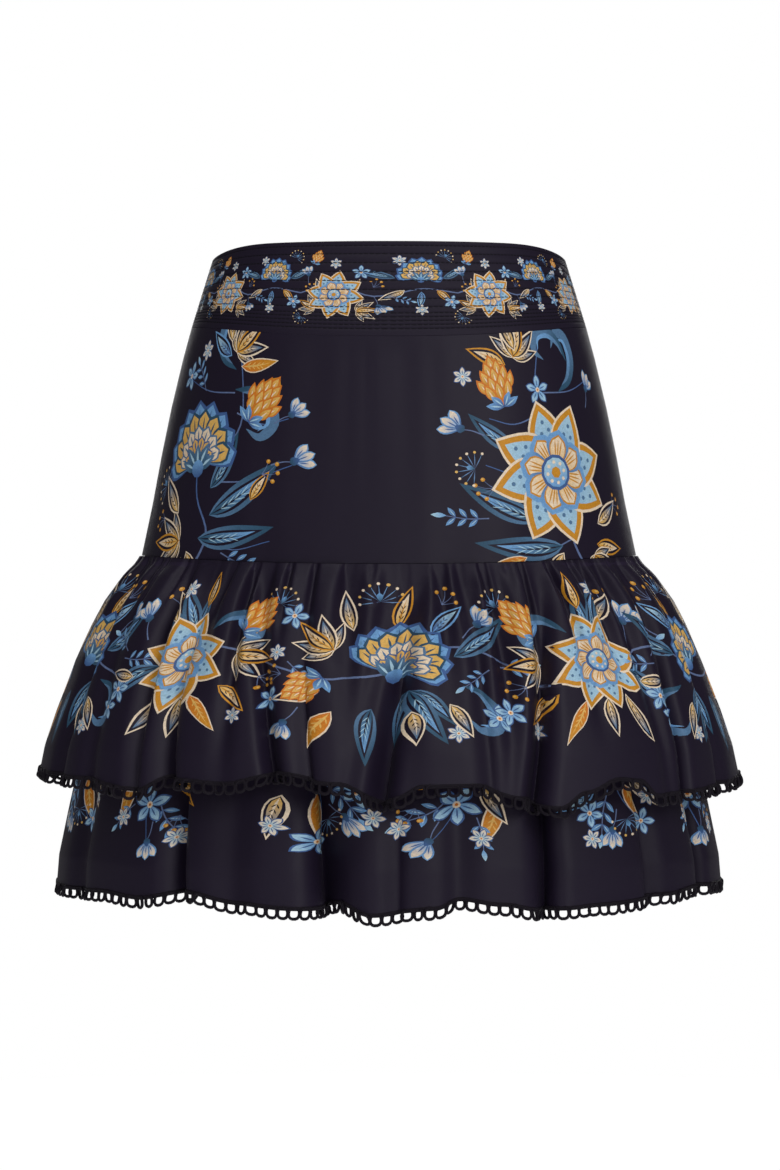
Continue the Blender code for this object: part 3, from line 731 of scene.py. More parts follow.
def draw_upper(side, width):
    """The garland of the upper ruffle: a wandering stem with flowers of every kind on it."""
    drawing = Drawing()
    reach = width / 2 + 12.0
    way = np.linspace(-reach, reach, 29)
    Pen(drawing).stem([(x, GARLAND_HEIGHT + 12 * math.sin(x / 23.0)) for x in way], 1.3, "slate",
                      end_width=1.0, steps=4)
    count = int(round(width / GARLAND_LENGTH))
    for index in range(count):
        x = (index - (count - 1) / 2) * width / count
        blossoms = (index + (side == BACK)) % 2
        flip = 1.0 if index < count / 2 else -1.0
        pen = Pen(drawing, x, GARLAND_HEIGHT + (4 if blossoms else -3), flip=flip)
        draw_rows(pen, GARLAND_WITH_BLOSSOM if blossoms else GARLAND_WITH_FAN)
    return drawing


# Two sprigs, and where they hang: place as a share of the width, height and turn
STAR_SPRIG = (
    ("orange_leaf", 17, 6, 8, 1.25), ("leaf", 6, 2, 40, 1.1), ("twig", -8, 16, -44, 1.15),
    ("gold_leaf", -12, 2, -70, 1.05), ("twig", 10, 24, 26, 0.9), ("berries", -22, 24, -30, 1.0),
    ("bell", -10, 42, -18, 1.0), ("daisy", -26, 38, 0, 1.15), ("star", -2, 20, 20, 1.4),
    ("daisy", 16, 36, 0, 1.1),
)
LEAF_SPRIG = (
    ("leaf", -14, 8, -36, 1.15), ("orange_leaf", -4, 10, -8, 1.2), ("twig", 8, 10, 30, 1.25),
    ("blue_leaf", 16, 4, 62, 1.05), ("bell", 14, 34, 22, 1.05), ("star", 26, 20, 10, 1.0),
    ("daisy", -24, 26, 0, 1.1), ("star", -14, 40, 0, 0.95), ("thistle", 2, 32, 0, 0.95),
    ("daisy", 30, 36, 0, 1.1),
)
SPRIG_PLACES = (
    (-0.405, 84, 172), (-0.245, 80, 196), (-0.085, 84, 160), (0.075, 80, 198), (0.235, 84, 166),
    (0.395, 81, 190),
)


def draw_lower(side, width):
    """Sprigs that hang below the upper ruffle's hem."""
    drawing = Drawing()
    for index, (place, height, turn) in enumerate(SPRIG_PLACES):
        flip = 1.0 if index % 4 < 2 else -1.0
        pen = Pen(drawing, place * width, height, turn, flip=flip)
        pen.stem(((4, -30), (2, -6), (0, 20), (-10, 44)), 1.0, "slate", "blue")
        draw_rows(pen, STAR_SPRIG if (index + (side == BACK)) % 2 else LEAF_SPRIG)
    return drawing


# One repeat of the waistband's garland, its length, and how far the garland is lifted and shifted
BAND_REPEAT = (
    ("leaves", -30, 14, -70, 0.42), ("leaves", -8, 12, 80, 0.42), ("leaf", -26, 22, -30, 0.5),
    ("orange_leaf", -12, 22, 34, 0.46), ("plume", 8, 34, -64, 0.42), ("plume", 32, 34, 70, 0.42),
    ("leaf", 12, 26, -130, 0.46), ("gold_leaf", 28, 26, 130, 0.46), ("blue_leaf", 20, 25, 180, 0.42),
    ("bell", -36, 36, -20, 0.5), ("bell", 2, 16, 150, 0.48), ("star", -6, 38, 0, 0.5),
    ("star", 36, 18, 20, 0.5), ("daisy", -20, 44, 0, 0.62), ("daisy", 10, 46, 0, 0.6),
    ("daisy", 20, 13, 0, 0.62), ("berries", -32, 26, -60, 0.5), ("berries", 0, 28, 20, 0.5),
    ("thistle", 34, 48, 30, 0.46), ("thistle", -38, 8, -140, 0.44), ("twig", 6, 22, 110, 0.4),
    ("bud", -33, 44, 20, 0.4), ("blossom", -20, 23, 6, 0.72), ("fan", 20, 34, 4, 0.66),
)
BAND_REPEAT_LENGTH, BAND_LIFT, BAND_ASIDE = 80.0, 4.0, -6.0


def draw_band(side, width):
    """A close garland of small flowers round the waistband."""
    drawing = Drawing()
    count = int(width / BAND_REPEAT_LENGTH) + 2
    for index in range(-count // 2, count // 2 + 1):
        pen = Pen(drawing, index * BAND_REPEAT_LENGTH + BAND_ASIDE, BAND_LIFT)
        pen.stem(((-40, 24), (-20, 30), (0, 22), (20, 27), (40, 24)), 0.8, "slate", end_width=1.0)
        draw_rows(pen, BAND_REPEAT)
    return drawing


DRAWINGS = {
    "waistband": draw_band,
    "yoke": draw_yoke,
    "upper_ruffle": draw_upper,
    "lower_ruffle": draw_lower,
}


# Meshes

def place_object(name, data, place=(0.0, 0.0, 0.0)):
    """An object in the scene at a place."""
    thing = bpy.data.objects.new(name, data)
    bpy.context.scene.collection.objects.link(thing)
    thing.location = place
    return thing


def link(mesh, name, material):
    mesh.materials.append(material)
    return place_object(name, mesh)


def fill_mesh(name, points, triangles):
    """A mesh from arrays of points and triangles."""
    mesh = bpy.data.meshes.new(name)
    mesh.vertices.add(len(points))
    mesh.vertices.foreach_set("co", np.asarray(points, np.float32).ravel())
    mesh.loops.add(len(triangles) * 3)
    mesh.loops.foreach_set("vertex_index", np.asarray(triangles, np.int32).ravel())
    mesh.polygons.add(len(triangles))
    mesh.polygons.foreach_set("loop_start", np.arange(0, len(triangles) * 3, 3, dtype=np.int32))
    mesh.update(calc_edges=True)
    mesh.validate()
    mesh.shade_smooth()
    return mesh


def grid_triangles(rows, columns):
    """Triangles of a grid of points, row by row."""
    corner = (np.arange(rows - 1)[:, None] * columns + np.arange(columns - 1)).ravel()
    first = np.stack([corner, corner + 1, corner + columns + 1], axis=1)
    second = np.stack([corner, corner + columns + 1, corner + columns], axis=1)
    return np.concatenate([first, second])


def cut_along_print(width, drop, columns, rows, drawing):
    """Cut a flat panel into triangles along a drawing: points, triangles and the outline each shows."""
    places = [(x, y) for y in rows for x in columns]
    edges = []
    for outline in drawing.outlines:
        order = range(len(places), len(places) + len(outline))
        edges += zip(order, (*order[1:], order[0]))
        places += [tuple(point) for point in outline]
    columns_up = len(columns) * (len(rows) - 1)
    edges += [(0, len(columns) - 1), (columns_up, columns_up + len(columns) - 1)]
    edges += [(0, columns_up), (len(columns) - 1, columns_up + len(columns) - 1)]
    points, _, cells, *_ = delaunay_2d_cdt([Vector(place) for place in places], edges, [], 0, 0.004, False)
    points, triangles = np.array([tuple(point) for point in points]), np.array(cells)
    middles = points[triangles].mean(axis=1)
    on_panel = (np.abs(middles[:, 0]) < width / 2) & (middles[:, 1] > 0.0) & (middles[:, 1] < drop)
    triangles, middles = triangles[on_panel], middles[on_panel]
    order = np.argsort(middles[:, 0])
    triangles, middles = triangles[order], middles[order]
    shown = np.full(len(triangles), -1)
    for index, outline in enumerate(drawing.outlines):
        first, last = np.searchsorted(middles[:, 0], (outline[:, 0].min(), outline[:, 0].max()))
        near = middles[first:last]
        tall = (near[:, 1] > outline[:, 1].min()) & (near[:, 1] < outline[:, 1].max())
        candidates = np.flatnonzero(tall)
        shown[first + candidates[inside_outline(near[candidates], outline)]] = index
    return points, triangles, shown


def inside_outline(points, outline):
    """Which points lie inside a closed outline."""
    x, y = points[:, 0, None], points[:, 1, None]
    start_x, start_y = outline.T
    end_x, end_y = np.roll(outline, -1, axis=0).T
    rise = np.where(end_y == start_y, 1.0, end_y - start_y)
    crossed = ((start_y > y) != (end_y > y)) & (x < (end_x - start_x) * (y - start_y) / rise + start_x)
    return crossed.sum(axis=1) % 2 == 1


def dye_corners(points, triangles, shown, drawing):
    """The dye at each triangle's corners, from the outline that it shows."""
    dyes = np.tile(ink_colour("ground"), (len(triangles), 3, 1))
    if not drawing.outlines:
        return dyes
    inked = shown >= 0
    inks = np.array(drawing.inks)[shown[inked]]
    axes = np.array(drawing.axes)[shown[inked]]
    along = axes[:, 1] - axes[:, 0]
    corner = points[triangles[inked]]
    reach = np.einsum("tcd,td->tc", corner - axes[:, None, 0], along)
    share = ease(reach / np.maximum((along ** 2).sum(1), 1e-9)[:, None])[..., None]
    dyes[inked] = blend(inks[:, None, 0], inks[:, None, 1], share)
    return dyes


# Rows of a panel's inner face, how near its edge a point counts as on it, how much lighter the
# reverse of the cloth is, and the finer columns near a steep fold: their reach in place and their step
INNER_ROWS = 20
EDGE_REACH = 0.001
REVERSE_SHADE = 1.5
STEEP_REACH, STEEP_STEP = 0.022, 0.55


def cloth_panel(name, tier, rows, material, step, wall, drawing):
    """A printed panel: its outer face cut along the print, and its inner face and edges behind."""
    width, drop = tier.width / MM, tier.drop / MM
    columns = panel_columns(tier, width, step)
    flat, triangles, shown = cut_along_print(width, drop, columns, rows, drawing)
    used, triangles = np.unique(triangles, return_inverse=True)
    flat, triangles = flat[used], triangles.reshape(-1, 3)
    place, share = flat[:, 0] / width + 0.5, np.clip(1.0 - flat[:, 1] / drop, 0.0, 1.0)
    outer = tier.points(place, share)
    outer_normals = tier.normals(place, share)
    flip = tier.side == BACK
    dyes = dye_corners(flat, triangles, shown, drawing)
    if flip:
        triangles, dyes = triangles[:, ::-1], dyes[:, ::-1]

    inner_rows = np.linspace(0.0, 1.0, INNER_ROWS)
    inner_place = np.tile(columns / width + 0.5, INNER_ROWS)
    inner_share = np.repeat(1.0 - inner_rows, len(columns))
    inner_heights = np.repeat(inner_rows * drop, len(columns))
    inner_flat = np.stack([np.tile(columns, INNER_ROWS), inner_heights], axis=1)
    all_flat = np.concatenate([flat, inner_flat])
    points = np.concatenate([outer, tier.points(inner_place, inner_share, wall)])
    normals = np.concatenate([outer_normals, -tier.normals(inner_place, inner_share)])
    inner_triangles = grid_triangles(INNER_ROWS, len(columns)) + len(outer)
    if not flip:
        inner_triangles = inner_triangles[:, ::-1]
    edges, edge_normals = cloth_edges(all_flat, len(outer), width, drop, flip)
    behind = np.concatenate([inner_triangles, edges])
    faces = np.concatenate([triangles, behind])
    corner_normals = normals[faces]
    corner_normals[-len(edges):] = edge_normals[:, None]
    reverse = np.array(ink_colour("ground")) * REVERSE_SHADE
    behind_dyes = np.tile(reverse, (len(behind), 3, 1))
    colours = np.concatenate([dyes, behind_dyes]).reshape(-1, 3)

    mesh = fill_mesh(name, points, faces)
    dye = mesh.color_attributes.new("dye", "FLOAT_COLOR", "CORNER")
    dye.data.foreach_set("color", np.concatenate([colours, np.ones((len(colours), 1))], axis=1)
                         .astype(np.float32).ravel())
    chart = mesh.uv_layers.new(name="cloth")
    chart.data.foreach_set("uv", (all_flat[faces.ravel()] * MM).astype(np.float32).ravel())
    mesh.normals_split_custom_set(corner_normals.reshape(-1, 3).tolist())
    return link(mesh, name, material)


def panel_columns(tier, width, step):
    """Places of the grid's columns, closer together where a steep fold runs."""
    spots = [0.0]
    while spots[-1] < 1.0:
        close = any(steep and min(top, hem) - STEEP_REACH < spots[-1] < max(top, hem) + STEEP_REACH
                    for top, hem, _, _, _, steep in tier.folds)
        spots.append(spots[-1] + step / width * (STEEP_STEP if close else 1.0))
    return (np.array(spots) / spots[-1] - 0.5) * width


def cloth_edges(flat, outer_count, width, drop, flip):
    """Strips that close a panel's four edges, from its outer face to its inner one."""
    outer, inner = np.arange(outer_count), np.arange(outer_count, len(flat))
    triangles, normals = [], []
    for axis, line, turned, away in (
        (1, 0.0, False, (0.0, 0.0, -1.0)),
        (1, drop, True, (0.0, 0.0, 1.0)),
        (0, -width / 2, True, (-1.0, 0.0, 0.0)),
        (0, width / 2, False, (1.0, 0.0, 0.0)),
    ):
        along = flat[:, 1 - axis]
        sides = []
        for face in (outer, inner):
            edge = face[np.abs(flat[face, axis] - line) < EDGE_REACH]
            sides.append(edge[np.argsort(along[edge])])
        strip = bridge(*sides, along)
        triangles += [row[::-1] for row in strip] if turned != flip else strip
        normals += [away] * len(strip)
    return np.array(triangles), np.array(normals)


def bridge(first, second, along):
    """Triangles between two lines of points that start and end side by side."""
    strip = []
    at, beside = 0, 0
    while at < len(first) - 1 or beside < len(second) - 1:
        last = beside == len(second) - 1
        if last or (at < len(first) - 1 and along[first[at + 1]] <= along[second[beside + 1]]):
            strip.append((first[at], second[beside], first[at + 1]))
            at += 1
        else:
            strip.append((first[at], second[beside], second[beside + 1]))
            beside += 1
    return strip


# Shader maths

class Node:
    """A socket of a shader tree, on which sums are written as sums."""

    def __init__(self, tree, socket=None):
        self.tree, self.socket = tree, socket

    def made(self, kind, settings=None, output=0, **sockets):
        """Add a node: its settings first, then the values or links of its named sockets."""
        node = self.tree.nodes.new(kind)
        for name, value in (settings or {}).items():
            setattr(node, name, value)
        for name, value in sockets.items():
            key = int(name[1:]) if name[0] == "_" else name.replace("_", " ")
            if isinstance(value, Node):
                self.tree.links.new(value.socket, node.inputs[key])
            else:
                node.inputs[key].default_value = value
        return Node(self.tree, node.outputs[output])

    def maths(self, operation, *values):
        return self.made("ShaderNodeMath", {"operation": operation},
                         **{f"_{index}": value for index, value in enumerate(values)})

    def __add__(self, other):
        return self.maths("ADD", self, other)

    def __sub__(self, other):
        return self.maths("SUBTRACT", self, other)

    def __mul__(self, other):
        return self.maths("MULTIPLY", self, other)

    def __gt__(self, other):
        return self.maths("GREATER_THAN", self, other)

    def sine(self):
        return self.maths("SINE", self)

    def noise(self, scale, detail, distortion=0.0):
        return self.made("ShaderNodeTexNoise", Vector=self, Scale=scale, Detail=detail,
                         Distortion=distortion)

    def parts(self):
        """The three numbers of a vector socket."""
        self.made("ShaderNodeSeparateXYZ", Vector=self)
        return [Node(self.tree, socket) for socket in self.tree.nodes[-1].outputs]


def set_inputs(node, **values):
    """Give a shader's inputs their values, or link them to varying ones."""
    for name, value in values.items():
        entry = node.inputs[name.replace("_", " ")]
        if isinstance(value, Node):
            value.tree.links.new(value.socket, entry)
        else:
            entry.default_value = value


def new_material(name, specular, **surface):
    """A material with a Principled shader, and the tree to write its sums in."""
    material = bpy.data.materials.new(name)
    material.use_nodes = True
    shader = material.node_tree.nodes["Principled BSDF"]
    set_inputs(shader, Specular_IOR_Level=specular, **surface)
    return material, Node(material.node_tree), shader


def finish(tool, shader, dye, shade, relief, strength, depth, **surface):
    """Shade the dye and raise the relief."""
    colour = tool.made("ShaderNodeVectorMath", {"operation": "SCALE"}, _0=dye, Scale=shade)
    bump = tool.made("ShaderNodeBump", Height=relief, Strength=strength, Distance=depth)
    set_inputs(shader, Base_Color=colour, Normal=bump, **surface)


# Angle that a thread or a rib adds for each metre, and the least light of a dye that isn't the ground
THREADS = 2 * math.pi / 0.00032
TAPE_RIBS = 2 * math.pi / 0.0007
INK_FLOOR = 0.03


def cloth_material(name, roughness):
    """Printed cloth: fine plain weave with slubs, its dye from the colour attribute."""
    material, tool, shader = new_material(name, 0.18, Sheen_Weight=0.015, Sheen_Roughness=0.35)
    dye = tool.made("ShaderNodeVertexColor", {"layer_name": "dye"})
    chart = tool.made("ShaderNodeUVMap", {"uv_map": "cloth"})
    across, up, _ = chart.parts()
    weave = (across * THREADS).sine() * (up * THREADS).sine()
    streak = tool.made("ShaderNodeMapping", Vector=chart, Scale=(260.0, 2400.0, 1.0)).noise(1.0, 2.0)
    inked = tool.made("ShaderNodeRGBToBW", Color=dye) > INK_FLOOR
    brush = (chart.noise(520.0, 3.0, 1.8) - 0.5) * inked * 0.75
    shade = streak * 0.24 + chart.noise(14.0, 2.0) * 0.20 + weave * 0.05 + 0.78 + brush
    relief = weave * 0.5 + chart.noise(900.0, 3.0) * 0.6 + streak * 0.8
    finish(tool, shader, dye, shade, relief, 0.16, 0.00012, Roughness=streak * 0.14 + (roughness - 0.07))
    return material


def cord_material(name, colour):
    """Matt wrapped cord."""
    surface = {"Roughness": 0.72, "Sheen_Weight": 0.01, "Sheen_Roughness": 0.4}
    material, tool, shader = new_material(name, 0.14, **surface)
    grain = tool.made("ShaderNodeTexCoord", None, 3).noise(1800.0, 2.0)
    finish(tool, shader, tuple(colour), grain * 0.5 + 0.75, grain, 0.5, 0.0003)
    return material


def tape_material(name, colour):
    """Zip tape: a twill of fine ribs that lean across it."""
    material, tool, shader = new_material(name, 0.25, Roughness=0.7)
    place = tool.made("ShaderNodeTexCoord", None, 3)
    across, along, up = place.parts()
    rib = ((across + along + up) * TAPE_RIBS).sine()
    grain = place.noise(900.0, 2.0)
    finish(tool, shader, colour, rib * 0.14 + grain * 0.4 + 0.8, rib + grain * 0.4, 0.4, 0.00015)
    return material


def metal_material(name, colour):
    """Dark plated metal with fine wear."""
    material, tool, shader = new_material(name, 0.5, Metallic=1.0)
    wear = tool.made("ShaderNodeTexCoord", None, 3).noise(700.0, 4.0)
    finish(tool, shader, colour, wear * 0.5 + 0.75, wear, 0.2, 0.0001, Roughness=wear * 0.25 + 0.22)
    return material


ZIP_TAPE = linear(24, 21, 30)
ZIP_METAL = linear(70, 70, 76)


def material_named(name):
    """The material of a finish, made once."""
    scene = bpy.context.scene
    makers = {
        "printed cloth": (cloth_material, scene.miniskirt_cloth.roughness),
        "waistband cloth": (cloth_material, scene.miniskirt_cloth.band_roughness),
        "thread": (cord_material, scene.miniskirt_stitches.colour),
        "loop cord": (cord_material, scene.miniskirt_trim.colour),
        "zip tape": (tape_material, ZIP_TAPE),
        "zip metal": (metal_material, ZIP_METAL),
    }
    maker, value = makers[name]
    return bpy.data.materials.get(name) or maker(name, value)


# Pieces

# Each tier's panels: slot, finish, mesh step, wall, fullness, how they are held, and what they hang
# from. The two halves of the waistband rest on each other.
PANELS = {
    "waistband": ("waistband_cloth", "waistband cloth", 2.6, 1.6 * MM, 1.03, "stretched", None),
    "yoke": ("printed_cloth", "printed cloth", 3.0, 0.8 * MM, 1.02, "hung", "waistband"),
    "upper_ruffle": ("printed_cloth", "printed cloth", 1.7, 0.7 * MM, 1.20, "gathered", "yoke"),
    "lower_ruffle": ("printed_cloth", "printed cloth", 2.4, 0.7 * MM, 1.20, "gathered", "yoke"),
}
# Rows on a flat panel, in millimetres: their step, the waistband's even ones and how far beside a
# stitch its others lie, the stretch below the ruffles' seam that has closer ones, how many it has, and
# where the even ones start below it
ROW_STEP = 4.0
BAND_ROWS, STITCH_ASIDE = 28, (-0.8, -0.4, 0.0, 0.4, 0.8)
NEAR_SEAM, NEAR_ROWS, BELOW_SEAM = (0.7, 30.0), 16, 32.0


def panel_rows(name, drop):
    """Heights of the grid rows on a flat panel, closer where the cloth has small relief."""
    if name == "waistband":
        rows = set(np.round(np.linspace(0.0, drop, BAND_ROWS), 3))
        for depth, aside in product(STITCH_ROWS, STITCH_ASIDE):
            rows.add(round(drop * (1.0 - depth / BAND_DEPTH) + aside, 3))
        return sorted(row for row in rows if 0.0 <= row <= drop)
    if name == "yoke":
        return list(np.linspace(0.0, drop, int(drop / ROW_STEP) + 1))
    near_top = drop - np.geomspace(*NEAR_SEAM, NEAR_ROWS)
    even = np.linspace(0.0, drop - BELOW_SEAM, int(drop / ROW_STEP))
    return sorted({0.0, drop, *even, *near_top})


def settle(piece, replaced=None):
    """Give a piece its body, and hide the solid that it stands for."""
    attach(piece, "root")
    if replaced:
        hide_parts(replaced)


def make_panels(name):
    """The front and back panels of one tier, printed and sewn in the place of their solids."""
    slot, finish_name, step, wall, fullness, held, above = PANELS[name]
    for side, side_name in SIDES:
        tier = make_tier(name, side)
        drop = tier.drop / MM
        drawing = DRAWINGS[name](side, tier.width / MM)
        piece = cloth_panel(f"{name}_{side_name}_cloth", tier, panel_rows(name, drop),
                            material_named(finish_name), step, wall, drawing)
        settle(piece, f"{name}_{side_name}")


class Parts:
    """Points and triangles of many small shapes, gathered into one mesh."""

    def __init__(self):
        self.points, self.triangles, self.total = [], [], 0

    def keep(self, points, triangles):
        self.points.append(points)
        self.triangles.append(triangles + self.total)
        self.total += len(points)

    def piece(self, name, finish_name):
        mesh = fill_mesh(name, np.concatenate(self.points), np.concatenate(self.triangles))
        return link(mesh, name, material_named(finish_name))


def tube(centres, radius, closed, sides=6):
    """Points and triangles of a cord of round section through centres."""
    along = np.roll(centres, -1, axis=0) - np.roll(centres, 1, axis=0)
    if not closed:
        along[0] = centres[1] - centres[0]
        along[-1] = centres[-1] - centres[-2]
    along = unit(along)
    helper = centres - centres.mean(axis=0) if closed else (0.0, 0.0, 1.0)
    first = unit(np.cross(along, np.cross(along, helper) if closed else helper))
    second = np.cross(along, first)
    angles = around(sides)[:, None]
    ring = first[:, None] * np.cos(angles) + second[:, None] * np.sin(angles)
    points = (centres[:, None] + ring * radius).reshape(-1, 3)
    start = np.arange(len(points)).reshape(-1, sides)
    ahead = np.roll(start, -1, axis=0)
    if not closed:
        start, ahead = start[:-1], ahead[:-1]
    start_next, ahead_next = np.roll(start, -1, axis=1), np.roll(ahead, -1, axis=1)
    halves = [np.stack(corners, axis=-1).reshape(-1, 3)
              for corners in ((start, ahead, ahead_next), (start, ahead_next, start_next))]
    return points, np.concatenate(halves)


# The trim: how square a loop is, its sides, the spreads of its turn and tilt in degrees, the least
# and most of its width and height, the braid's cords as a drop below the hem and a size, and how deep
# in the cloth the hem's middle lies and where above the hem the cloth's direction is taken
LOOP_POWER = 0.82
LOOP_SIDES = 14
LOOP_TURN, LOOP_TILT = 15.0, 10.0
LOOP_WIDTH, LOOP_HEIGHT = (0.93, 1.05), (0.94, 1.05)
BRAID = ((0.0002, 1.0), (0.0013, 0.85))
HEM_MIDDLE, ABOVE_HEM = 0.0004, 0.97


def hem_path(tier, pitch):
    """Points along a hem, three to a loop, and the way down at each."""
    fine = np.linspace(0.0, 1.0, 1000)
    steps = np.linalg.norm(np.diff(tier.points(fine, 1.0), axis=0), axis=1)
    walked = np.concatenate([[0.0], np.cumsum(steps)])
    count = int(round(walked[-1] / pitch))
    places = np.interp(np.linspace(0.0, walked[-1], count * 3 + 1), walked, fine)
    edge = tier.points(places, 1.0, HEM_MIDDLE)
    return edge, unit(edge - tier.points(places, ABOVE_HEM, HEM_MIDDLE))


def loop_ring(edge, down, settings, draw):
    """The middle line of a loop under four points of the hem, turned and sized a little by chance."""
    along = unit(edge[3] - edge[0])
    out = np.cross(along, down)
    turn = math.radians(draw.gauss(0.0, LOOP_TURN))
    tilt = math.radians(draw.gauss(0.0, LOOP_TILT))
    half_width = settings.half_width * draw.uniform(*LOOP_WIDTH)
    half_height = settings.half_height * draw.uniform(*LOOP_HEIGHT)
    wide = (along * math.cos(turn) + out * math.sin(turn)) * half_width
    tall = (down * math.cos(tilt) + out * math.sin(tilt)) * half_height
    angles = around(LOOP_SIDES)
    x, y = [np.sign(wave) * np.abs(wave) ** LOOP_POWER for wave in (np.cos(angles), np.sin(angles))]
    return (edge[1] + edge[2]) / 2 + down * settings.drop + np.outer(x, wide) + np.outer(y, tall)


def make_trim(name, settings):
    """The loop edging of one ruffle: a braid along the hem and a row of loops under it."""
    stem = name.split("_")[0]
    for side, side_name in SIDES:
        draw = random.Random(f"{name} {side_name}")
        parts = Parts()
        edge, down = hem_path(make_tier(name, side), settings.pitch)
        for drop, size in BRAID:
            parts.keep(*tube(edge + down * drop, settings.braid_cord * size, closed=False))
        for start in range(0, len(edge) - 1, 3):
            ring = loop_ring(edge[start:start + 4], down[start + 1], settings, draw)
            parts.keep(*tube(ring, settings.loop_cord, closed=True))
        piece = parts.piece(f"{stem}_loops_{side_name}", "loop cord")
        settle(piece, f"{stem}_loop_trim_{side_name}")


# One stitch: its points along it, across it and above the cloth, as shares, and its faces
STITCH_POINTS = (
    (-1.0, 0.0, 0.0), (-0.6, 1.0, 0.6), (0.6, 1.0, 0.6), (1.0, 0.0, 0.0), (0.6, -1.0, 0.6),
    (-0.6, -1.0, 0.6), (-0.5, 0.0, 1.0), (0.5, 0.0, 1.0),
)
STITCH_FACES = ((0, 5, 6), (0, 6, 1), (1, 6, 7), (1, 7, 2), (2, 7, 3), (3, 7, 4), (4, 7, 6), (4, 6, 5))
STITCH_FOOT, STITCH_RISE = 0.00004, 0.00022


def make_stitches(settings):
    """The rows of topstitching on the waistband."""
    for side, side_name in SIDES:
        tier = make_tier("waistband", side)
        parts = Parts()
        count = int(tier.width / settings.pitch)
        places = (np.arange(count) + 0.5) / count
        half = settings.length / 2 / tier.width
        starts = np.arange(count)[:, None, None] * len(STITCH_POINTS)
        faces = (starts + np.array(STITCH_FACES)[:, ::-side]).reshape(-1, 3)
        for row in STITCH_ROWS:
            corners = []
            for along, aside, rise in STITCH_POINTS:
                down = (row + aside * settings.half_width) / BAND_DEPTH
                lift = STITCH_FOOT + rise * STITCH_RISE
                corners.append(tier.points(places + along * half, down, -lift))
            parts.keep(np.stack(corners, axis=1).reshape(-1, 3), faces)
        settle(parts.piece(f"waistband_stitches_{side_name}", "thread"))


def make_zip():
    """The zip's own solids, given their finishes."""
    for node, finish_name in (("side_zip", "zip tape"), ("zip_slider", "zip metal")):
        materials = bpy.data.objects[node].data.materials
        materials.clear()
        materials.append(material_named(finish_name))


# Stage

# The view: the picture's height in its own pixels, metres a pixel, and the camera's place
PHOTO_HEIGHT = 1170
PIXEL = 0.00068
CAMERA_DISTANCE = 2.6
CAMERA_HEIGHT = -0.226
CAMERA_ASIDE = 0.0007
SENSOR = 24.0

FLOOR_HEIGHT = -0.75
FLOOR_RADIUS, FLOOR_SIDES = 1.5, 96
WHITE = (1.0, 1.0, 1.0, 1.0)
LIGHT_AIM = Vector((0.0, 0.0, -0.25))
# Each light's place, its width and height, and the setting of its power
LIGHTS = {
    "key": ((1.3, -2.3, 0.9), (1.0, 1.2), "key"),
    "fill": ((-0.9, -2.5, 0.3), (1.0, 1.4), "fill"),
    "top": ((0.0, -0.9, 1.9), (1.2, 0.9), "top"),
    "back_left": ((-0.6, 2.5, 0.6), (1.2, 1.2), "rim"),
    "back_right": ((0.7, 2.5, 0.4), (1.2, 1.2), "rim"),
}


def make_stage(settings):
    """Camera at the photograph's angle, a pale floor and soft studio light."""
    scene = bpy.context.scene
    lens = bpy.data.cameras.new("camera")
    lens.sensor_fit = "VERTICAL"
    lens.sensor_height = SENSOR
    lens.lens = SENSOR * CAMERA_DISTANCE / (PHOTO_HEIGHT * PIXEL)
    scene.camera = place_object("camera", lens, (CAMERA_ASIDE, -CAMERA_DISTANCE, CAMERA_HEIGHT))
    scene.camera.rotation_euler = (math.radians(90), 0.0, 0.0)

    angles = around(FLOOR_SIDES)
    rim = np.stack([np.cos(angles), np.sin(angles), np.zeros(FLOOR_SIDES)], axis=1) * FLOOR_RADIUS
    points = np.concatenate([[(0.0, 0.0, 0.0)], rim]) + (0.0, 0.0, FLOOR_HEIGHT)
    corner = np.arange(FLOOR_SIDES)
    triangles = np.stack([corner * 0, corner + 1, (corner + 1) % FLOOR_SIDES + 1], axis=1)
    material, _, shader = new_material("pale floor", 0.0, Roughness=0.9, Base_Color=(0.2, 0.2, 0.2, 1.0))
    set_inputs(shader, Emission_Color=WHITE, Emission_Strength=0.92)
    link(fill_mesh("floor", points, triangles), "floor", material)

    world = bpy.data.worlds.new("studio")
    world.use_nodes = True
    seen = Node(world.node_tree).made("ShaderNodeLightPath")
    strength = seen * (1.0 - settings.sky) + settings.sky
    set_inputs(world.node_tree.nodes["Background"], Color=WHITE, Strength=strength)
    scene.world = world
    scene.view_settings.view_transform = "Standard"
    for name, (place, size, setting) in LIGHTS.items():
        lamp = bpy.data.lights.new(name, "AREA")
        lamp.shape = "RECTANGLE"
        lamp.size, lamp.size_y = size
        lamp.energy = getattr(settings, setting)
        light = place_object(name, lamp, place)
        light.rotation_euler = (LIGHT_AIM - Vector(place)).to_track_quat("-Z", "Y").to_euler()


def colour_setting(name, description, colour):
    return FloatVectorProperty(name=name, description=description, subtype="COLOR", size=3, min=0.0,
                               max=1.0, default=colour)


def length_setting(name, description, length):
    return FloatProperty(name=name, description=description, subtype="DISTANCE", unit="LENGTH", min=0.0,
                         precision=5, default=length)


def share_setting(name, description, share):
    return FloatProperty(name=name, description=description, subtype="FACTOR", min=0.0, max=1.0,
                         default=share)


def power_setting(name, description, power):
    return FloatProperty(name=name, description=description, unit="POWER", min=0.0, default=power)


class ClothSettings(bpy.types.PropertyGroup):
    """Colours and finish of the printed cloth."""

    __annotations__ = {ink: colour_setting(*facts) for ink, facts in INKS.items()}
    roughness: share_setting("Roughness", "Roughness of yoke and ruffles", 0.50)
    band_roughness: share_setting("Waistband roughness", "Roughness of the waistband", 0.58)
    gathers: length_setting("Gathers", "Depth of the gathers under the yoke's seam", 0.0044)


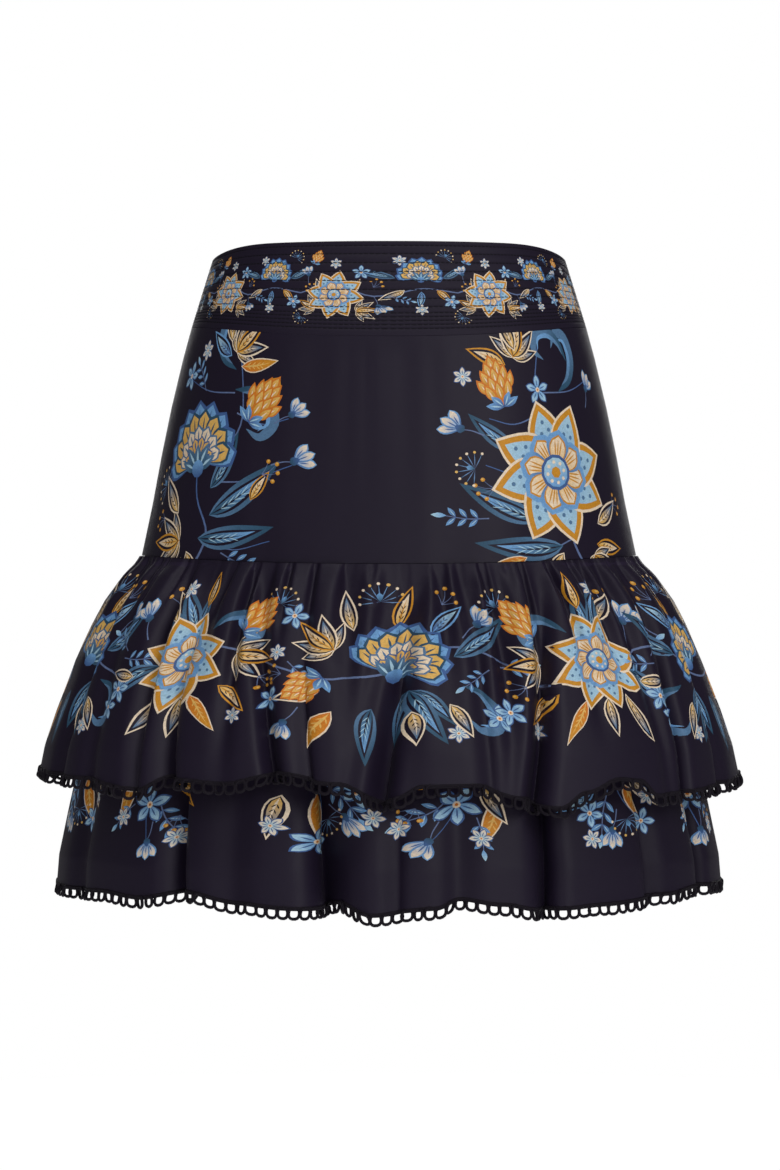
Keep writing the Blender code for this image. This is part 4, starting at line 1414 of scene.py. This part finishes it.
class StitchSettings(bpy.types.PropertyGroup):
    """Topstitching of the waistband."""

    length: length_setting("Stitch", "Length of one stitch", 0.0026)
    pitch: length_setting("Pitch", "From one stitch to the next", 0.0028)
    half_width: length_setting("Half width", "Half the width of the thread", 0.00027)
    colour: colour_setting("Thread", "Colour of the thread", linear(17, 15, 22))


class TrimSettings(bpy.types.PropertyGroup):
    """Loop edging of the hems."""

    pitch: length_setting("Pitch", "From one loop to the next", 0.0074)
    half_width: length_setting("Half width", "Half the width of a loop", 0.0035)
    half_height: length_setting("Half height", "Half the height of a loop", 0.0035)
    drop: length_setting("Drop", "From the hem to the middle of a loop", 0.0037)
    loop_cord: length_setting("Loop cord", "Radius of the loops' cord", 0.00105)
    braid_cord: length_setting("Braid cord", "Radius of the braid's cords", 0.00105)
    colour: colour_setting("Cord", "Colour of the edging", linear(21, 16, 25))


class StudioSettings(bpy.types.PropertyGroup):
    """Strength of the studio's lights."""

    sky: share_setting("Surround", "Light from the white surround", 0.11)
    key: power_setting("Key", "Power of the softbox at the upper right", 29.5)
    fill: power_setting("Fill", "Power of the softbox at the left", 5.5)
    top: power_setting("Top", "Power of the light above", 16.0)
    rim: power_setting("Rim", "Power of the lights behind", 10.0)


class MINISKIRT_OT_waistband(bpy.types.Operator):
    """Make the printed waistband with its rows of topstitching"""
    bl_idname = "miniskirt.waistband"
    bl_label = "Waistband"

    def execute(self, context):
        make_panels("waistband")
        make_stitches(context.scene.miniskirt_stitches)
        return {"FINISHED"}


class MINISKIRT_OT_yoke(bpy.types.Operator):
    """Make the smooth yoke with a branch of flowers on each side"""
    bl_idname = "miniskirt.yoke"
    bl_label = "Yoke"

    def execute(self, context):
        make_panels("yoke")
        return {"FINISHED"}


class MINISKIRT_OT_ruffles(bpy.types.Operator):
    """Make the two gathered ruffles"""
    bl_idname = "miniskirt.ruffles"
    bl_label = "Ruffles"

    def execute(self, context):
        make_panels("upper_ruffle")
        make_panels("lower_ruffle")
        return {"FINISHED"}


class MINISKIRT_OT_trim(bpy.types.Operator):
    """Make the loop edging of both hems"""
    bl_idname = "miniskirt.trim"
    bl_label = "Loop trim"

    def execute(self, context):
        make_trim("upper_ruffle", context.scene.miniskirt_trim)
        make_trim("lower_ruffle", context.scene.miniskirt_trim)
        return {"FINISHED"}


class MINISKIRT_OT_zip(bpy.types.Operator):
    """Finish the concealed side zip"""
    bl_idname = "miniskirt.zip"
    bl_label = "Side zip"

    def execute(self, context):
        make_zip()
        return {"FINISHED"}


class MINISKIRT_OT_stage(bpy.types.Operator):
    """Set the camera, the floor and the studio lights"""
    bl_idname = "miniskirt.stage"
    bl_label = "Stage"

    def execute(self, context):
        make_stage(context.scene.miniskirt_studio)
        return {"FINISHED"}


OPERATORS = (
    MINISKIRT_OT_waistband,
    MINISKIRT_OT_yoke,
    MINISKIRT_OT_ruffles,
    MINISKIRT_OT_trim,
    MINISKIRT_OT_zip,
    MINISKIRT_OT_stage,
)


class MINISKIRT_PT_panel(bpy.types.Panel):
    """The skirt's pieces in the order of making"""
    bl_idname = "MINISKIRT_PT_panel"
    bl_label = "Miniskirt"
    bl_space_type = "VIEW_3D"
    bl_region_type = "UI"
    bl_category = "Miniskirt"

    def draw(self, context):
        for operator in OPERATORS:
            self.layout.operator(operator.bl_idname)
        for group, settings in SETTINGS.items():
            for name in settings.__annotations__:
                self.layout.prop(getattr(context.scene, group), name)


SETTINGS = {
    "miniskirt_cloth": ClothSettings,
    "miniskirt_stitches": StitchSettings,
    "miniskirt_trim": TrimSettings,
    "miniskirt_studio": StudioSettings,
}
CLASSES = (*SETTINGS.values(), *OPERATORS, MINISKIRT_PT_panel)


def register():
    for made in CLASSES:
        bpy.utils.register_class(made)
    for group, settings in SETTINGS.items():
        setattr(bpy.types.Scene, group, PointerProperty(type=settings))


def unregister():
    for group in SETTINGS:
        delattr(bpy.types.Scene, group)
    for made in reversed(CLASSES):
        bpy.utils.unregister_class(made)


def main():
    register()
    for operator in OPERATORS:
        group, name = operator.bl_idname.split(".")
        getattr(getattr(bpy.ops, group), name)()


if __name__ == "__main__":
    main()
